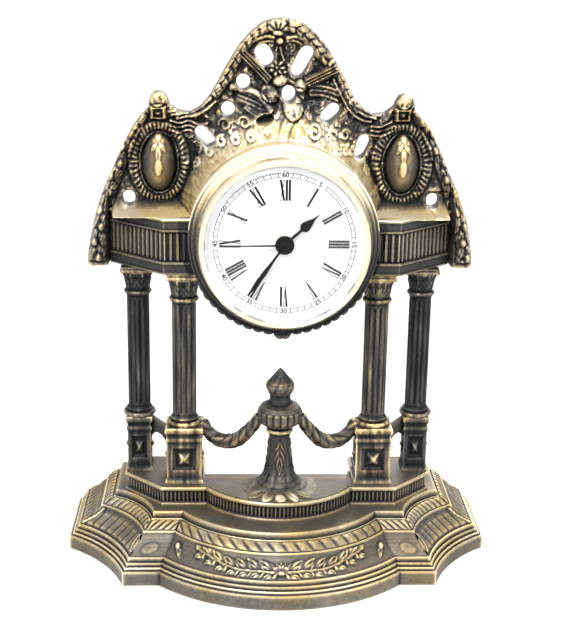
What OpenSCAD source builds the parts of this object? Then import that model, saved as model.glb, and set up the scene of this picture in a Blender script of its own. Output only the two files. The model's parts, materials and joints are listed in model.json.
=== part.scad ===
/* [Base] */
// Half of the base's width at its outer corners
base_half_w = 93.5; // [88:0.5:100]
// How far the straight front lies before the middle of the depth
base_front_y = 27.1; // [25:0.1:29]
// Half of the base's depth, to the tip of the front bow and to the back
base_half_d = 48.75; // [47:0.25:52]
// Height of the base's top table
base_h = 24.9; // [23:0.1:28]
// Wall of the base casting
base_wall = 4; // [3:0.5:5]
// Half of the width of the open back of the base
base_notch_half_w = 37; // [34:1:38]

/* [Platform and columns] */
// Height of the fluted platform
platform_h = 8.5; // [7:0.5:11]
// Half of the distance between the two inner columns
inner_x = 41.8; // [41:0.1:43]
// Place of the inner columns along the depth
inner_y = 13; // [12.5:0.5:14]
// Distance from an inner column to its outer neighbour, along the width
outer_step = 20.6; // [20.4:0.1:21.5]
// Place of the outer columns along the depth
outer_y = 25; // [24.5:0.5:26]
// Radius of an inner column's shaft
inner_shaft_r = 5.2; // [4.6:0.1:5.6]
// Radius of an outer column's shaft
outer_shaft_r = 4.9; // [4.5:0.1:5.2]
// Height of a column's pedestal, with its steps and cap
pedestal_h = 25.6; // [22:0.1:28.5]
// Height of a column from its torus to its abacus
column_h = 69.3; // [59:0.1:80]

/* [Head] */
// Height of the entablature
ent_h = 24.2; // [22:0.1:27]
// How far the drum's face reaches beyond the bezel
drum_lip = 2; // [1.8:0.1:3.5]
// How far the drum stands before the entablature's front
drum_reach = 19.1; // [17:0.1:22]
// Height of the crest above the entablature's top
crest_rise = 81; // [78:0.5:88]
// Thickness of the crest's back plate
crest_t = 8; // [7:0.5:9]

/* [Clock insert] */
// Outer radius of the bezel
bezel_r = 36; // [35.6:0.1:37]
// Outer radius of the insert's cup
cup_r = 32; // [31.5:0.1:32.3]
// Depth of the insert's cup behind its rim
cup_depth = 15.6; // [15.6:0.1:18]
// Gap between the rubber ring and the bore that it fills
ring_gap = 0.08; // [0.05:0.01:0.1]
// Thickness of the crystal's flat part
crystal_t = 1.2; // [1:0.1:1.6]
// Hour shown at rest
rest_hour = 1; // [0:1:11]
// Minute shown at rest
rest_minute = 35; // [0:1:59]
// Second shown at rest
rest_second = 44.8; // [0:0.2:59.8]

/* [Movement] */
// Distance from the middle to the motion wheel's arbor
motion_a = 12; // [11.9:0.1:12.4]
// Distance from the middle to the third wheel's arbor
third_a = 10.2; // [10.2:0.1:10.6]
// Distance from the middle to the intermediate wheel's arbor
inter_a = 10.32; // [10.3:0.02:10.6]
// Distance from the intermediate wheel to the rotor
rotor_a = 8.4; // [8.3:0.1:8.6]
// Radius of the button cell
cell_r = 5.8; // [5.5:0.1:5.9]
// Thickness of the button cell
cell_t = 5.4; // [4.8:0.1:5.4]
// Running clearance of an arbor or tube in its bearing
run_gap = 0.06; // [0.04:0.01:0.08]

/* [Fasteners] */
// Radius of the rods that tie the columns between base and head
rod_r = 1.5; // [1.4:0.1:1.6]
// Clearance of a rod in its hole
rod_gap = 0.3; // [0.2:0.05:0.4]
// Radius of the screws that hold the crest
screw_r = 1.5; // [1.4:0.1:1.6]

/* [Hidden] */
$fn = 64;
eps = 0.01;

// Plan of the base
base_flat_in = 51.5;
base_flat_out = 67.2;
base_corner_y = 8.5;
base_corner_sag = 3.8;
bow_half = base_flat_in;
bow_sag = base_half_d - base_front_y;
bow_r = (bow_half * bow_half + bow_sag * bow_sag) / (2 * bow_sag);
// Moulding of the base: each step is [inset, height of its top]
base_steps = [
    [0, 6.2], [1.2, 7.6], [2.4, 9.3], [3.5, 11.4], [5, 12.4], [7.6, 13.5], [10.3, 14.9],
    [12.6, 16.6], [14, 18.4], [15.2, 19.4], [17.4, 20.6], [19.4, 22.2], [20.3, base_h]
];
base_top_inset = 20.3;
table_t = 6.5;
notch_y = 34.5;

// Plan of the platform
pad_in = 31.9;
pad_out = 51.5;
pad_y = 0;
plat_bow_y = -16.85;
plat_end_x = 68.6;
plat_end_y = 17.4;
plat_back_y = 36;
plat_mid_back_y = 11;
plat_top = base_h + platform_h;

// Columns
pedestal_w = 16;
outer_pedestal_w = 11;
ped_top = plat_top + pedestal_h;
outer_x = inner_x + outer_step;
column_top = ped_top + column_h;
torus_h = 3.8;
cap_h = 12.4;
abacus_h = 2.4;
rod_hole = rod_r + rod_gap;

// Head
ent_bottom = column_top;
ent_top = ent_bottom + ent_h;
drum_r = bezel_r + drum_lip;
ent_front_y = 5.85;
ent_corner_x = 50.2;
ent_in_x = 30;
ent_end_x = 74.2;
ent_end_y = 27.4;
ent_wall = 4;
crest_front_y = 31;
crest_back_y = crest_front_y + crest_t;
dial_z = ent_top - 4.8;
face_y = ent_front_y - drum_reach;
bore_r = cup_r + 0.5;
apex_z = ent_top + crest_rise;

// Depths in the insert, counted back from the drum's face
glass_r = bezel_r - 2.8;
dial_r = bezel_r - 3;
rim_front = -3.2;
dial_t = 0.4;
dial_front = rim_front - dial_t;
glass_back = -7.4;
glass_front = glass_back - crystal_t;
glass_dome = 0.6;
bezel_front = glass_front - 0.8;
ring_front = 4;
ring_back = 9;
front_plate_back = -1.9;
middle_front = 2.4;
middle_back = 3.4;
bridge_front = 10.4;
bridge_back = 11.2;
rear_front = 12.2;
rear_back = 13.4;
cup_back = cup_depth;
cup_floor = cup_back - 1.4;
case_split = 5;
hour_hand_y = -5.3;
minute_hand_y = -6.1;
second_hand_y = -6.7;
hand_t = 0.4;

// Places of the arbors, seen from the front
motion_xz = polar(motion_a, 210);
third_xz = polar(third_a, 10);
inter_xz = polar(inter_a, 150);
rotor_xz = inter_xz + polar(rotor_a, 120);
cell_xz = [12.6, -12.2];
tube_r = 1.5;
hour_tube_r = 2.2;
sec_r = 0.6;
pin_r = 0.5;
set_r = 0.9;

// Teeth of each wheel and pinion
t_cannon = 12;
t_motion = 36;
t_motion_pinion = 10;
t_hour = 40;
t_sec_pinion = 8;
t_third = 60;
t_third_pinion = 8;
t_centre = 64;
t_inter_pinion = 8;
t_sec = 40;
t_rotor_pinion = 8;
t_inter = 48;

// Angles of the hands at rest, clockwise from twelve
minute_turn = 6 * (rest_minute + rest_second / 60);
hour_turn = 30 * rest_hour + minute_turn / 12;
second_turn = 6 * rest_second;

function polar(r, a) = [r * cos(a), r * sin(a)];
// Points on the arc through p and q that bulges by sag to the left of p to q
function sag_arc(p, q, sag, n) =
    let (c = (q - p) / 2, half = norm(c), r = (half * half + sag * sag) / (2 * sag),
         nrm = [-c[1], c[0]] / half, mid = (p + q) / 2 + nrm * (sag - r),
         a0 = atan2(p[1] - mid[1], p[0] - mid[0]), turn = 2 * asin(half / r))
    [for (i = [0:n]) mid + r * [cos(a0 - turn * i / n), sin(a0 - turn * i / n)]];
function flip_x(pts) = [for (i = [len(pts) - 1:-1:0]) [-pts[i][0], pts[i][1]]];
// Half of the base's plan at an inset d, from the middle of the bow to the back
function base_half(d) =
    let (cy = bow_r - base_half_d, r = bow_r - d, flat_y = d - base_front_y,
         a1 = acos((cy - flat_y) / r), in_x = r * sin(a1),
         out = [base_flat_out - 0.6 * d, flat_y],
         side = [base_half_w - d, base_corner_y + 0.42 * d])
    concat([for (i = [0:12]) [r * sin(a1 * i / 12), cy - r * cos(a1 * i / 12)]],
           sag_arc(out, side, base_corner_sag, 6), [[base_half_w - d, base_half_d]]);
function both_sides(half) = concat(flip_x(half), [for (i = [0:len(half) - 1]) half[i]]);
// Half of the platform's plan at an inset d
function plat_half(d) =
    let (sag = pad_y - plat_bow_y, r = (pad_in * pad_in + sag * sag) / (2 * sag), cy = plat_bow_y + r,
         rr = r - d, a1 = acos((cy - pad_y - d) / rr))
    concat([for (i = [0:10]) [rr * sin(a1 * i / 10), cy - rr * cos(a1 * i / 10)]],
           [[pad_out - 0.41 * d, pad_y + d], [plat_end_x - d, plat_end_y + 0.41 * d],
            [plat_end_x - d, plat_back_y - d], [pad_in + 1 + d, plat_back_y - d],
            [pad_in + 1 + d, plat_mid_back_y - d], [0, plat_mid_back_y - d]]);
// Outline of the crest's right half, as [x, height above the entablature's top]
crest_half = [
    [0, crest_rise], [5, crest_rise - 0.6], [9.3, crest_rise - 2.3], [14, crest_rise - 6.2],
    [18.3, crest_rise - 11], [21.6, crest_rise - 16.2], [25, crest_rise - 22], [28.2, crest_rise - 28],
    [31, crest_rise - 32.8], [35, crest_rise - 37.6], [39.6, crest_rise - 40.2],
    [44.8, crest_rise - 39.4], [48.6, crest_rise - 36.4], [49.3, crest_rise - 34],
    [51, crest_rise - 31.8], [53, crest_rise - 31.2], [55, crest_rise - 31.8],
    [56.7, crest_rise - 34], [57.2, crest_rise - 38.2], [60.3, crest_rise - 41.4],
    [64.3, crest_rise - 46.4], [67.2, crest_rise - 52], [70.6, crest_rise - 59],
    [73.6, crest_rise - 66], [76.4, crest_rise - 71.6], [78.6, crest_rise - 78],
    [80.4, crest_rise - 85], [82, crest_rise - 92], [83.2, crest_rise - 98.6],
    [83.8, crest_rise - 104], [82, crest_rise - 105.6], [75, -ent_h]
];
tail_x = ent_end_x + 0.4;
tail_front_y = 20;
relief_y = 5;
// Holes through the crest: [x, height below the apex, half width, half height, slant]
crest_holes = [
    [-8, 15.3, 3.5, 4.9, -28], [8.2, 17.6, 3.1, 7.0, 30], [-16.8, 26.6, 3, 3.4, 0],
    [2.6, 31.4, 3, 3.5, 0], [-23.2, 38.2, 3, 3.4, 0], [20.4, 39.2, 3.1, 4.9, 50],
    [-33, 49.6, 3.1, 5.1, -50], [34.2, 53.4, 3.3, 5.3, 25],
    [-66.2, 77.2, 2.9, 3.3, 0], [66.6, 77.4, 2.9, 3.3, 0]
];

// A prism whose outline lies in the front view, from depth y0 back to y1
module slab(y0, y1) {
    translate([0, y1, 0]) rotate([90, 0, 0]) linear_extrude(y1 - y0) children();
}
// Whatever belongs to the insert, with its axis at the dial's centre
module in_insert() {
    translate([0, face_y, dial_z]) children();
}
// A ring about the insert's axis from an outline of [radius, depth]
module turned(pts) {
    rotate([-90, 0, 0]) rotate_extrude($fn = 96) polygon(pts);
}
module rod_y(xz, r, y0, y1, n = 48) {
    translate([xz[0], y1, xz[1]]) rotate([90, 0, 0]) cylinder(r = r, h = y1 - y0, $fn = n);
}
module rounded_box(w, h, r) {
    square([w - 2 * r, h], center = true);
    square([w, h - 2 * r], center = true);
    for (x = [-1, 1], y = [-1, 1]) translate([x * (w / 2 - r), y * (h / 2 - r)]) circle(r);
}
// Teeth as one outline, with a tooth centred at the angle first
module teeth(n, m, first) {
    r = n * m / 2;
    half = 0.35 * 180 / n;
    tip = r + 0.7 * m;
    root = r - 1.1 * m;
    polygon([for (k = [0:n - 1]) for (p = [[root, -1.25], [r, -1], [tip, -0.45],
                                           [tip, 0.45], [r, 1], [root, 1.25]])
        polar(p[0], first + 360 * k / n + p[1] * half)]);
}
// A toothed wheel or pinion with a twelve-sided hole that grips its arbor
module wheel(xz, n, m, first, y0, y1, hole, spokes = 0) {
    translate([xz[0], 0, xz[1]]) slab(y0, y1) difference() {
        teeth(n, m, first);
        circle(r = hole / cos(15) + 0.02, $fn = 12);
        if (spokes > 0) for (i = [0:spokes - 1]) rotate(360 * (i + 0.5) / spokes)
            translate([0.55 * n * m / 2, 0]) circle(r = 0.17 * n * m / 2, $fn = 12);
    }
}
rod_places = [[-inner_x, inner_y], [inner_x, inner_y], [-outer_x, outer_y], [outer_x, outer_y]];

module base_casting() {
    floor_z = base_h - table_t;
    color("dimgray") difference() {
        for (i = [0:len(base_steps) - 1]) {
            z0 = i == 0 ? 0 : base_steps[i - 1][1];
            translate([0, 0, z0]) linear_extrude(base_steps[i][1] - z0)
                polygon(both_sides(base_half(base_steps[i][0])));
        }
        // hollow underside, stepped inside the moulding
        for (c = [[base_wall, 8], [base_wall + 7, 12], [base_wall + 13.5, floor_z]])
            translate([0, 0, -1]) linear_extrude(c[1] + 1) difference() {
                polygon(both_sides(inner_half(c[0])));
                translate([-base_notch_half_w - base_wall, notch_y - base_wall])
                    square([2 * (base_notch_half_w + base_wall), base_half_d]);
            }
        // open back behind the portico
        translate([-base_notch_half_w, notch_y, -1]) cube([2 * base_notch_half_w, base_half_d, base_h + 2]);
        for (p = rod_places) translate([p[0], p[1], 0]) cylinder(r = rod_hole, h = base_h + 1);
    }
}
// Plan of the hollow, closed by a wall at the back
function inner_half(d) =
    [for (p = base_half(d)) [p[0], min(p[1], base_half_d - base_wall)]];

module platform_casting() {
    crown = 1.6;
    color("dimgray") difference() {
        union() {
            translate([0, 0, base_h]) linear_extrude(1.2) polygon(both_sides(plat_half(0)));
            translate([0, 0, base_h + 1.2]) linear_extrude(platform_h - 1.2 - crown)
                polygon(both_sides(plat_half(0.9)));
            translate([0, 0, plat_top - crown]) linear_extrude(crown) polygon(both_sides(plat_half(0)));
        }
        for (p = rod_places) translate([p[0], p[1], base_h - 1]) cylinder(r = rod_hole, h = platform_h + 2);
        // flutes of the straight pads
        for (s = [-1, 1], x = [pad_in + 2.4:2.1:pad_out - 1.6])
            translate([s * x, pad_y + 0.9, base_h + 1.9]) cylinder(r = 0.55, h = platform_h - 4.2, $fn = 16);
    }
}

module fluted(r, h) {
    linear_extrude(h) difference() {
        circle(r);
        for (i = [0:11]) rotate(30 * i) translate([r + 0.15, 0]) circle(r = 0.75, $fn = 20);
    }
}
// A square block of width w about the column's axis
module block(w, z, h) {
    translate([-w / 2, -w / 2, z]) cube([w, w, h]);
}
// A column on its pedestal: w is the pedestal's width and r the shaft's radius
module column(w, r) {
    step = 1.6;
    plinth = 3.3;
    cap = 6.6;
    die_h = pedestal_h - step - plinth - cap;
    die_z = plat_top + step + plinth;
    difference() {
        union() {
            block(w + 1, plat_top, step);
            block(w - 0.4, plat_top + step, plinth);
            block(w - 1.4, die_z, die_h);
            block(w - 0.4, ped_top - cap, 2);
            block(w + 0.4, ped_top - cap + 2, 1.6);
            block(w + 1, ped_top - 3, 3);
            // torus, shaft, neck ring, bell and abacus
            translate([0, 0, ped_top]) rotate_extrude() polygon([
                [0, 0], [r + 1.9, 0], [r + 2.3, 0.9], [r + 2.3, 1.5], [r + 1.7, 2.4], [r + 0.9, 2.8],
                [r + 0.9, torus_h], [0, torus_h]]);
            translate([0, 0, ped_top + torus_h]) fluted(r, column_h - torus_h - cap_h);
            translate([0, 0, column_top - cap_h]) rotate_extrude() polygon([
                [0, 0], [r + 0.9, 0], [r + 1.2, 0.6], [r + 0.9, 1.3], [r + 0.2, 1.6], [r + 0.5, 4.6],
                [r + 1.2, 7.6], [r + 2.2, cap_h - abacus_h], [0, cap_h - abacus_h]]);
            block(2 * r + 4.6, column_top - abacus_h, abacus_h);
        }
        // framed panels with a raised point on the four sides of the pedestal
        for (a = [0:90:270]) rotate(a) translate([-w / 2 + 2.3, -w / 2 + 0.2, die_z + 1.4])
            cube([w - 4.6, 1.3, die_h - 2.8]);
        translate([0, 0, plat_top - 1]) cylinder(r = rod_hole, h = ent_bottom - plat_top + 2);
    }
    for (a = [0:90:270]) rotate(a) translate([0, -w / 2 + 1.5, die_z + die_h / 2])
        rotate([90, 0, 0]) cylinder(r1 = w * 0.28, r2 = 0.3, h = 1, $fn = 4);
}
module inner_column(side) {
    color("darkgoldenrod") translate([side * inner_x, inner_y, 0]) column(pedestal_w, inner_shaft_r);
}
module outer_column(side) {
    color("darkgoldenrod") translate([side * outer_x, outer_y, 0]) column(outer_pedestal_w, outer_shaft_r);
}
module inner_column_left() { inner_column(-1); }
module inner_column_right() { inner_column(1); }
module outer_column_left() { outer_column(-1); }
module outer_column_right() { outer_column(1); }

// Rail that rakes up from the inner pedestal's side to the outer column's pedestal
module side_rail(side) {
    x0 = inner_x + pedestal_w / 2 + 0.55;
    x1 = outer_x - outer_pedestal_w / 2 - 0.55;
    y0 = inner_y + 4;
    y1 = outer_y - 1;
    z0 = ped_top - 2.6;
    color("dimgray") scale([side, 1, 1]) polyhedron(
        points = [for (e = [[x0, y0, 0], [x1, y1, 2.2]])
            for (c = [[-1.6, -5], [1.6, -5], [1.6, 0], [-1.6, 0]])
            [e[0], e[1] + c[0], z0 + e[2] + c[1]]],
        faces = [[0, 1, 2, 3], [7, 6, 5, 4], [0, 4, 5, 1], [1, 5, 6, 2], [2, 6, 7, 3], [3, 7, 4, 0]]);
}
module side_rail_left() { side_rail(-1); }
module side_rail_right() { side_rail(1); }

urn_y = 2.6;
urn_foot_z = plat_top;
// Outline of the urn as [radius, height above the platform]
urn_profile = [
    [0, 0], [8.2, 0], [8.1, 1.4], [6.4, 3.2], [5.4, 6], [4.9, 11], [4.7, 16], [4.6, 21.4], [5.2, 22.2],
    [5.6, 23], [5.2, 23.9], [4.6, 24.6], [4.6, 26.6], [5.6, 27.6], [7.4, 29], [9.1, 31.5], [9.8, 34],
    [10.1, 36], [9.9, 37.8], [7.8, 38.8], [5.3, 39.8], [4.9, 41.1], [5.3, 43.5], [6.4, 46.2],
    [6.6, 47.6], [5.9, 49.5], [3.6, 51.8], [1.7, 53.5], [0.4, 55], [0, 55]
];
module urn() {
    color("darkgoldenrod") translate([0, urn_y, urn_foot_z]) rotate_extrude() polygon(urn_profile);
}
// Garland hung from the inner pedestal's cap to the urn, as a tube along a sagging line
module swag(side) {
    x0 = urn_bowl_x + 0.25;
    x1 = inner_x - pedestal_w / 2 - 0.75;
    z_urn = urn_foot_z + 33;
    z_ped = ped_top + 0.6;
    y_ped = inner_y - 1;
    low = 10.6;
    n = 16;
    sides = 10;
    ring = [for (i = [0:n]) let (t = i / n, x = x0 + (x1 - x0) * t,
        z = z_urn + (z_ped - z_urn) * t - 4 * low * t * (1 - t),
        slope = (z_ped - z_urn - 4 * low * (1 - 2 * t)) / (x1 - x0) * min(1, 5 * t * (1 - t)),
        up = [-slope, 1] / sqrt(1 + slope * slope),
        keep = i == 0 || i == n,
        r = 2.5 + 1.3 * sin(180 * t))
        for (k = [0:sides - 1]) let (a = 360 * k / sides, u = keep ? [0, 1] : up)
            [x + u[0] * r * cos(a), urn_y + (y_ped - urn_y) * t + 0.9 * r * sin(a), z + u[1] * r * cos(a)]];
    color("darkgoldenrod") scale([side, 1, 1]) polyhedron(points = ring, faces = concat(
        [[for (k = [0:sides - 1]) k]], [[for (k = [sides - 1:-1:0]) n * sides + k]],
        [for (i = [0:n - 1]) for (k = [0:sides - 1]) let (j = (k + 1) % sides)
            each [[i * sides + k, (i + 1) * sides + k, i * sides + j],
                  [i * sides + j, (i + 1) * sides + k, (i + 1) * sides + j]]]));
}
urn_bowl_x = 9.9;
module swag_left() { swag(-1); }
module swag_right() { swag(1); }

function ent_half(d) = [
    [ent_in_x, ent_front_y + d], [ent_corner_x - 0.38 * d, ent_front_y + d],
    [ent_end_x - d, ent_end_y + 0.45 * d], [ent_end_x - d, crest_front_y], [ent_in_x, crest_front_y]
];
module head_casting() {
    fascia = 5.6;
    color("dimgray") difference() {
        union() {
            for (s = [0, 1]) mirror([s, 0, 0]) {
                translate([0, 0, ent_bottom]) linear_extrude(fascia) polygon(ent_half(0));
                translate([0, 0, ent_bottom + fascia]) linear_extrude(ent_h - 2 * fascia)
                    polygon(ent_half(1.2));
                translate([0, 0, ent_top - fascia]) linear_extrude(fascia) polygon(ent_half(0));
            }
            in_insert() rod_y([0, 0], drum_r, 0, crest_front_y - face_y, 128);
            // raised rim under the drum's face
            in_insert() turned([[drum_r - 1, 1.2], [drum_r + 1, 1.6], [drum_r + 1.3, 2.6], [drum_r + 1, 3.6],
                                [drum_r - 1, 4]]);
        }
        in_insert() rod_y([0, 0], bore_r, -1, crest_front_y - face_y + 1, 128);
        // pockets behind the entablature's walls, open towards the crest
        for (s = [0, 1]) mirror([s, 0, 0]) translate([0, 0, ent_bottom + ent_wall])
            linear_extrude(ent_h - 2 * ent_wall)
            intersection() {
                polygon(ent_half(2.6));
                translate([drum_r + 0.4, 0]) square([60, crest_front_y - 1]);
            }
        for (p = rod_places) translate([p[0], p[1], ent_bottom - 1]) cylinder(r = rod_hole, h = ent_wall + 2);
        for (p = crest_screw_places) translate([0, crest_front_y - screw_len, 0])
            rod_y(p, screw_r, 0, screw_len + 1, 32);
    }
}
screw_len = 7;
// The crest's screws, two beside the drum and two near its top, as [x, z]
crest_screw_places = [for (a = [-38, 38, 142, 218]) [0, dial_z] + (bore_r + drum_r) / 2 * [cos(a), sin(a)]];

module crest_outline() {
    polygon(concat(
        [for (p = crest_half) [p[0], ent_top + p[1]]],
        [[ent_in_x, ent_bottom], [ent_in_x, dial_z - 2], [-ent_in_x, dial_z - 2], [-ent_in_x, ent_bottom]],
        [for (i = [len(crest_half) - 1:-1:1]) [-crest_half[i][0], ent_top + crest_half[i][1]]]));
}
module crest_casting() {
    color("dimgray") difference() {
        union() {
            difference() {
                slab(crest_front_y, crest_back_y) union() {
                    crest_outline();
                    translate([0, dial_z]) circle(r = drum_r, $fn = 128);
                }
                translate([0, 0, apex_z]) for (h = crest_holes) translate([h[0], 0, -h[1]])
                    crest_hole(h[2], h[3], h[4]);
            }
            // relief: the medallions, the ornament over the drum and the tails beside the entablature
            for (s = [-1, 1]) translate([s * 52.6, 0, ent_top + 20]) {
                slab(crest_front_y - 3.4, crest_front_y + 1) scale([1, 1.3]) circle(r = 13.6);
                slab(crest_front_y - 6.2, crest_front_y) scale([1, 1.62]) circle(r = 8.2);
            }
            for (s = [0, 1]) mirror([s, 0, 0]) slab(tail_front_y, crest_front_y + 1) polygon([
                [tail_x, ent_bottom + 1], [82, ent_bottom - 0.6], [83.4, ent_bottom + 4],
                [82, ent_bottom + 14], [79, ent_top + 3], [tail_x, ent_top + 10]]);
            for (i = [0:3]) slab(relief_y + 6.5 * i, crest_front_y + 1) intersection() {
                translate([0, dial_z]) difference() {
                    circle(r = drum_r + 5 + 4.4 * i, $fn = 96);
                    circle(r = drum_r + 0.15, $fn = 128);
                }
                translate([-30, dial_z + 20]) square([60, 40]);
            }
            for (s = [-1, 1]) translate([s * 53, 0, ent_top + 46.2])
                slab(crest_front_y - 2.5, crest_front_y + 1)
                translate([-3.6, -6.4]) square([7.2, 6.4]);
        }
        in_insert() rod_y([0, 0], bore_r + 0.5, 0, crest_back_y - face_y + 1, 128);
        for (p = crest_screw_places) {
            rod_y(p, screw_r + 0.2, crest_front_y - 1, crest_back_y + 1, 32);
            rod_y(p, 3.1, crest_back_y - 2, crest_back_y + 1, 32);
        }
        for (h = crest_holes) translate([h[0], 0, apex_z - h[1]]) crest_hole(h[2], h[3], h[4]);
    }
}
// A slanted long hole through the crest
module crest_hole(rx, rz, slant) {
    rotate([0, slant, 0]) slab(crest_front_y - 20, crest_back_y + 1) {
        for (s = [-1, 1]) translate([0, s * (rz - rx)]) circle(r = rx, $fn = 32);
        square([2 * rx, 2 * (rz - rx)], center = true);
    }
}

washer_t = 0.8;
nut_t = 2.4;
nut_af = 5.5;
under_table = base_h - table_t;
over_floor = ent_bottom + ent_wall;
module tie_rods() {
    color("silver") for (p = rod_places) translate([p[0], p[1], under_table - washer_t - nut_t - 1])
        cylinder(r = rod_r, h = over_floor + 2 * (washer_t + nut_t + 1) - under_table, $fn = 32);
}
module tie_washers() {
    color("silver") for (p = rod_places, z = [under_table - washer_t, over_floor]) translate([p[0], p[1], z])
        difference() {
            cylinder(r = 2.9, h = washer_t, $fn = 32);
            translate([0, 0, -1]) cylinder(r = rod_r + 0.1, h = 3, $fn = 32);
        }
}
module tie_nuts() {
    color("gold") for (p = rod_places, z = [under_table - washer_t - nut_t, over_floor + washer_t])
        translate([p[0], p[1], z]) difference() {
            cylinder(r = nut_af / sqrt(3), h = nut_t, $fn = 6);
            translate([0, 0, -1]) cylinder(r = rod_r + 0.03, h = nut_t + 2, $fn = 32);
        }
}
module crest_screws() {
    color("silver") for (p = crest_screw_places) difference() {
        union() {
            rod_y(p, screw_r - 0.05, crest_front_y - screw_len + 0.6, crest_back_y - 1.9, 32);
            rod_y(p, 2.8, crest_back_y - 2, crest_back_y - 0.3, 32);
        }
        translate([p[0] - 4, crest_back_y - 1, p[1] - 0.35]) cube([8, 2, 0.7]);
    }
}

module insert_cup() {
    color("black") in_insert() difference() {
        turned([[30.5, rim_front], [bezel_r - 1, rim_front], [bezel_r - 1, 0], [cup_r, 0], [cup_r, cup_back],
                [0, cup_back], [0, cup_floor], [30.5, cup_floor]]);
        rod_y(motion_xz, knob_r + 0.4, cup_floor - 1, cup_back + 1);
        rod_y(cell_xz, cover_r + 0.15, cup_floor - 1, cup_back + 1);
        // slots that let the cover's lugs through once it is turned
        translate([cell_xz[0], 0, cell_xz[1]]) rotate([0, 45, 0])
            translate([-cover_r - 1.1, cup_floor - 1, -1.3]) cube([2 * cover_r + 2.2, 4, 2.6]);
    }
}
module rubber_ring() {
    color("black") in_insert() turned([
        [cup_r, ring_front], [bore_r - ring_gap, ring_front + 0.6], [bore_r - ring_gap, ring_back - 0.6],
        [cup_r, ring_back]]);
}
module bezel() {
    r = bezel_r;
    color("gold") in_insert() turned([
        [r - 0.95, 0], [r, 0], [r, -1.6], [r - 0.15, -3], [r - 0.5, -5], [r - 0.95, -7], [r - 1.5, -8.6],
        [r - 2.1, bezel_front + 0.1], [r - 2.5, bezel_front], [r - 3.4, glass_front - 0.35],
        [r - 3.5, glass_front - 0.05], [r - 2.75, glass_front - 0.05], [r - 2.75, rim_front - 0.1],
        [r - 0.95, rim_front - 0.1]]);
}
module crystal() {
    n = 12;
    color("lightcyan", 0.35) in_insert() turned(concat(
        [[0, glass_back], [glass_r, glass_back], [glass_r, glass_front]],
        [for (i = [0:n]) let (t = 1 - i / n) [(glass_r - 0.9) * t, glass_front - glass_dome * (1 - t * t)]]));
}
module spacer_ring() {
    color("white") in_insert() turned([
        [glass_r - 1.3, glass_back], [glass_r, glass_back], [glass_r, dial_front],
        [glass_r - 2, dial_front]]);
}
module dial() {
    color("white") in_insert()
        turned([[3.05, dial_front], [dial_r, dial_front], [dial_r, rim_front], [3.05, rim_front]]);
}
module fixing_nut() {
    color("gold") in_insert() difference() {
        rod_y([0, 0], 3.8, dial_front - 1, dial_front, 6);
        rod_y([0, 0], 2.93, dial_front - 2, dial_front + 1, 32);
    }
}

// A hand's outline drawn towards twelve, turned clockwise and given its thickness
module hand(turn, y) {
    in_insert() rotate([0, turn, 0]) slab(y, y + hand_t) children();
}
module hour_hand() {
    color("black") hand(hour_turn, hour_hand_y) difference() {
        union() {
            circle(r = 3.3);
            translate([-0.55, 0]) square([1.1, 10]);
            translate([0, 11]) circle(r = 2.05, $fn = 32);
            polygon([[-2, 11.6], [2, 11.6], [1.2, 13.8], [0.5, 15.6], [0.14, 18.6], [-0.14, 18.6],
                     [-0.5, 15.6], [-1.2, 13.8]]);
        }
        circle(r = hour_tube_r + 0.01);
    }
}
module minute_hand() {
    color("black") hand(minute_turn, minute_hand_y) difference() {
        union() {
            circle(r = 3.9);
            polygon([[-0.45, 0], [0.45, 0], [0.5, 8], [1, 14.5], [0.75, 19], [0.12, 26], [-0.12, 26],
                     [-0.75, 19], [-1, 14.5], [-0.5, 8]]);
        }
        circle(r = tube_r + 0.01);
    }
}
module second_hand() {
    color("black") hand(second_turn, second_hand_y) difference() {
        union() {
            circle(r = 2.4);
            polygon([[-0.4, 0], [0.4, 0], [0.18, 25.6], [-0.18, 25.6]]);
        }
        circle(r = sec_r + 0.01, $fn = 32);
    }
}

case_w = 44;
case_h = 43;
posts = [[17.6, 16.6], [-17.6, 16.6], [17.6, -16.6], [-17.6, -17.4]];
module movement_front() {
    color("ivory") in_insert() difference() {
        union() {
            slab(rim_front, front_plate_back) rounded_box(case_w, case_h, 6);
            slab(front_plate_back, case_split) difference() {
                rounded_box(case_w, case_h, 6);
                rounded_box(case_w - 2, case_h - 2, 5);
            }
            rod_y([0, 0], 2.9, dial_front - 1.1, rim_front);
            for (p = posts) rod_y(p, 1.2, front_plate_back, middle_front, 32);
        }
        rod_y([0, 0], hour_tube_r + run_gap, dial_front - 2, front_plate_back + 1);
        rod_y(motion_xz, set_r + run_gap, front_plate_back - 0.5, front_plate_back + 1, 32);
    }
}
module movement_rear() {
    color("ivory") in_insert() difference() {
        union() {
            slab(rear_front, rear_back) rounded_box(case_w, case_h, 6);
            slab(case_split, rear_front) difference() {
                rounded_box(case_w, case_h, 6);
                rounded_box(case_w - 2, case_h - 2, 5);
            }
            rod_y(cell_xz, cell_r + 1, rear_front - cell_t + 0.4, rear_front);
            for (p = bridge_posts) rod_y(p, 1, bridge_back, rear_front, 32);
        }
        rod_y(cell_xz, cell_r + 0.15, 0, rear_back + 1);
        rod_y(motion_xz, set_r + run_gap, rear_front - 1, rear_back + 1, 32);
        // window for the side contact
        translate([cell_xz[0] - cell_r - 1.6, 0, cell_xz[1] - 2]) cube([1.8, rear_front, 4.4]);
    }
}
bridge_posts = [[-18.8, 2.6], [2.5, -10.8], [19.4, 12.6]];
module middle_plate() {
    color("gainsboro") in_insert() difference() {
        union() {
            slab(middle_front, middle_back) rounded_box(case_w - 2.2, case_h - 2.2, 4.9);
            for (p = bridge_posts) rod_y(p, 1, middle_back, bridge_front, 32);
            for (p = board_posts) rod_y(p, 0.9, middle_back, board_front, 32);
        }
        rod_y([0, 0], tube_r + run_gap, 0, 6);
        rod_y(motion_xz, set_r + run_gap, 0, 6, 32);
        for (p = [third_xz, inter_xz, rotor_xz]) rod_y(p, pin_r + run_gap, 0, 6, 32);
    }
}
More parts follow.
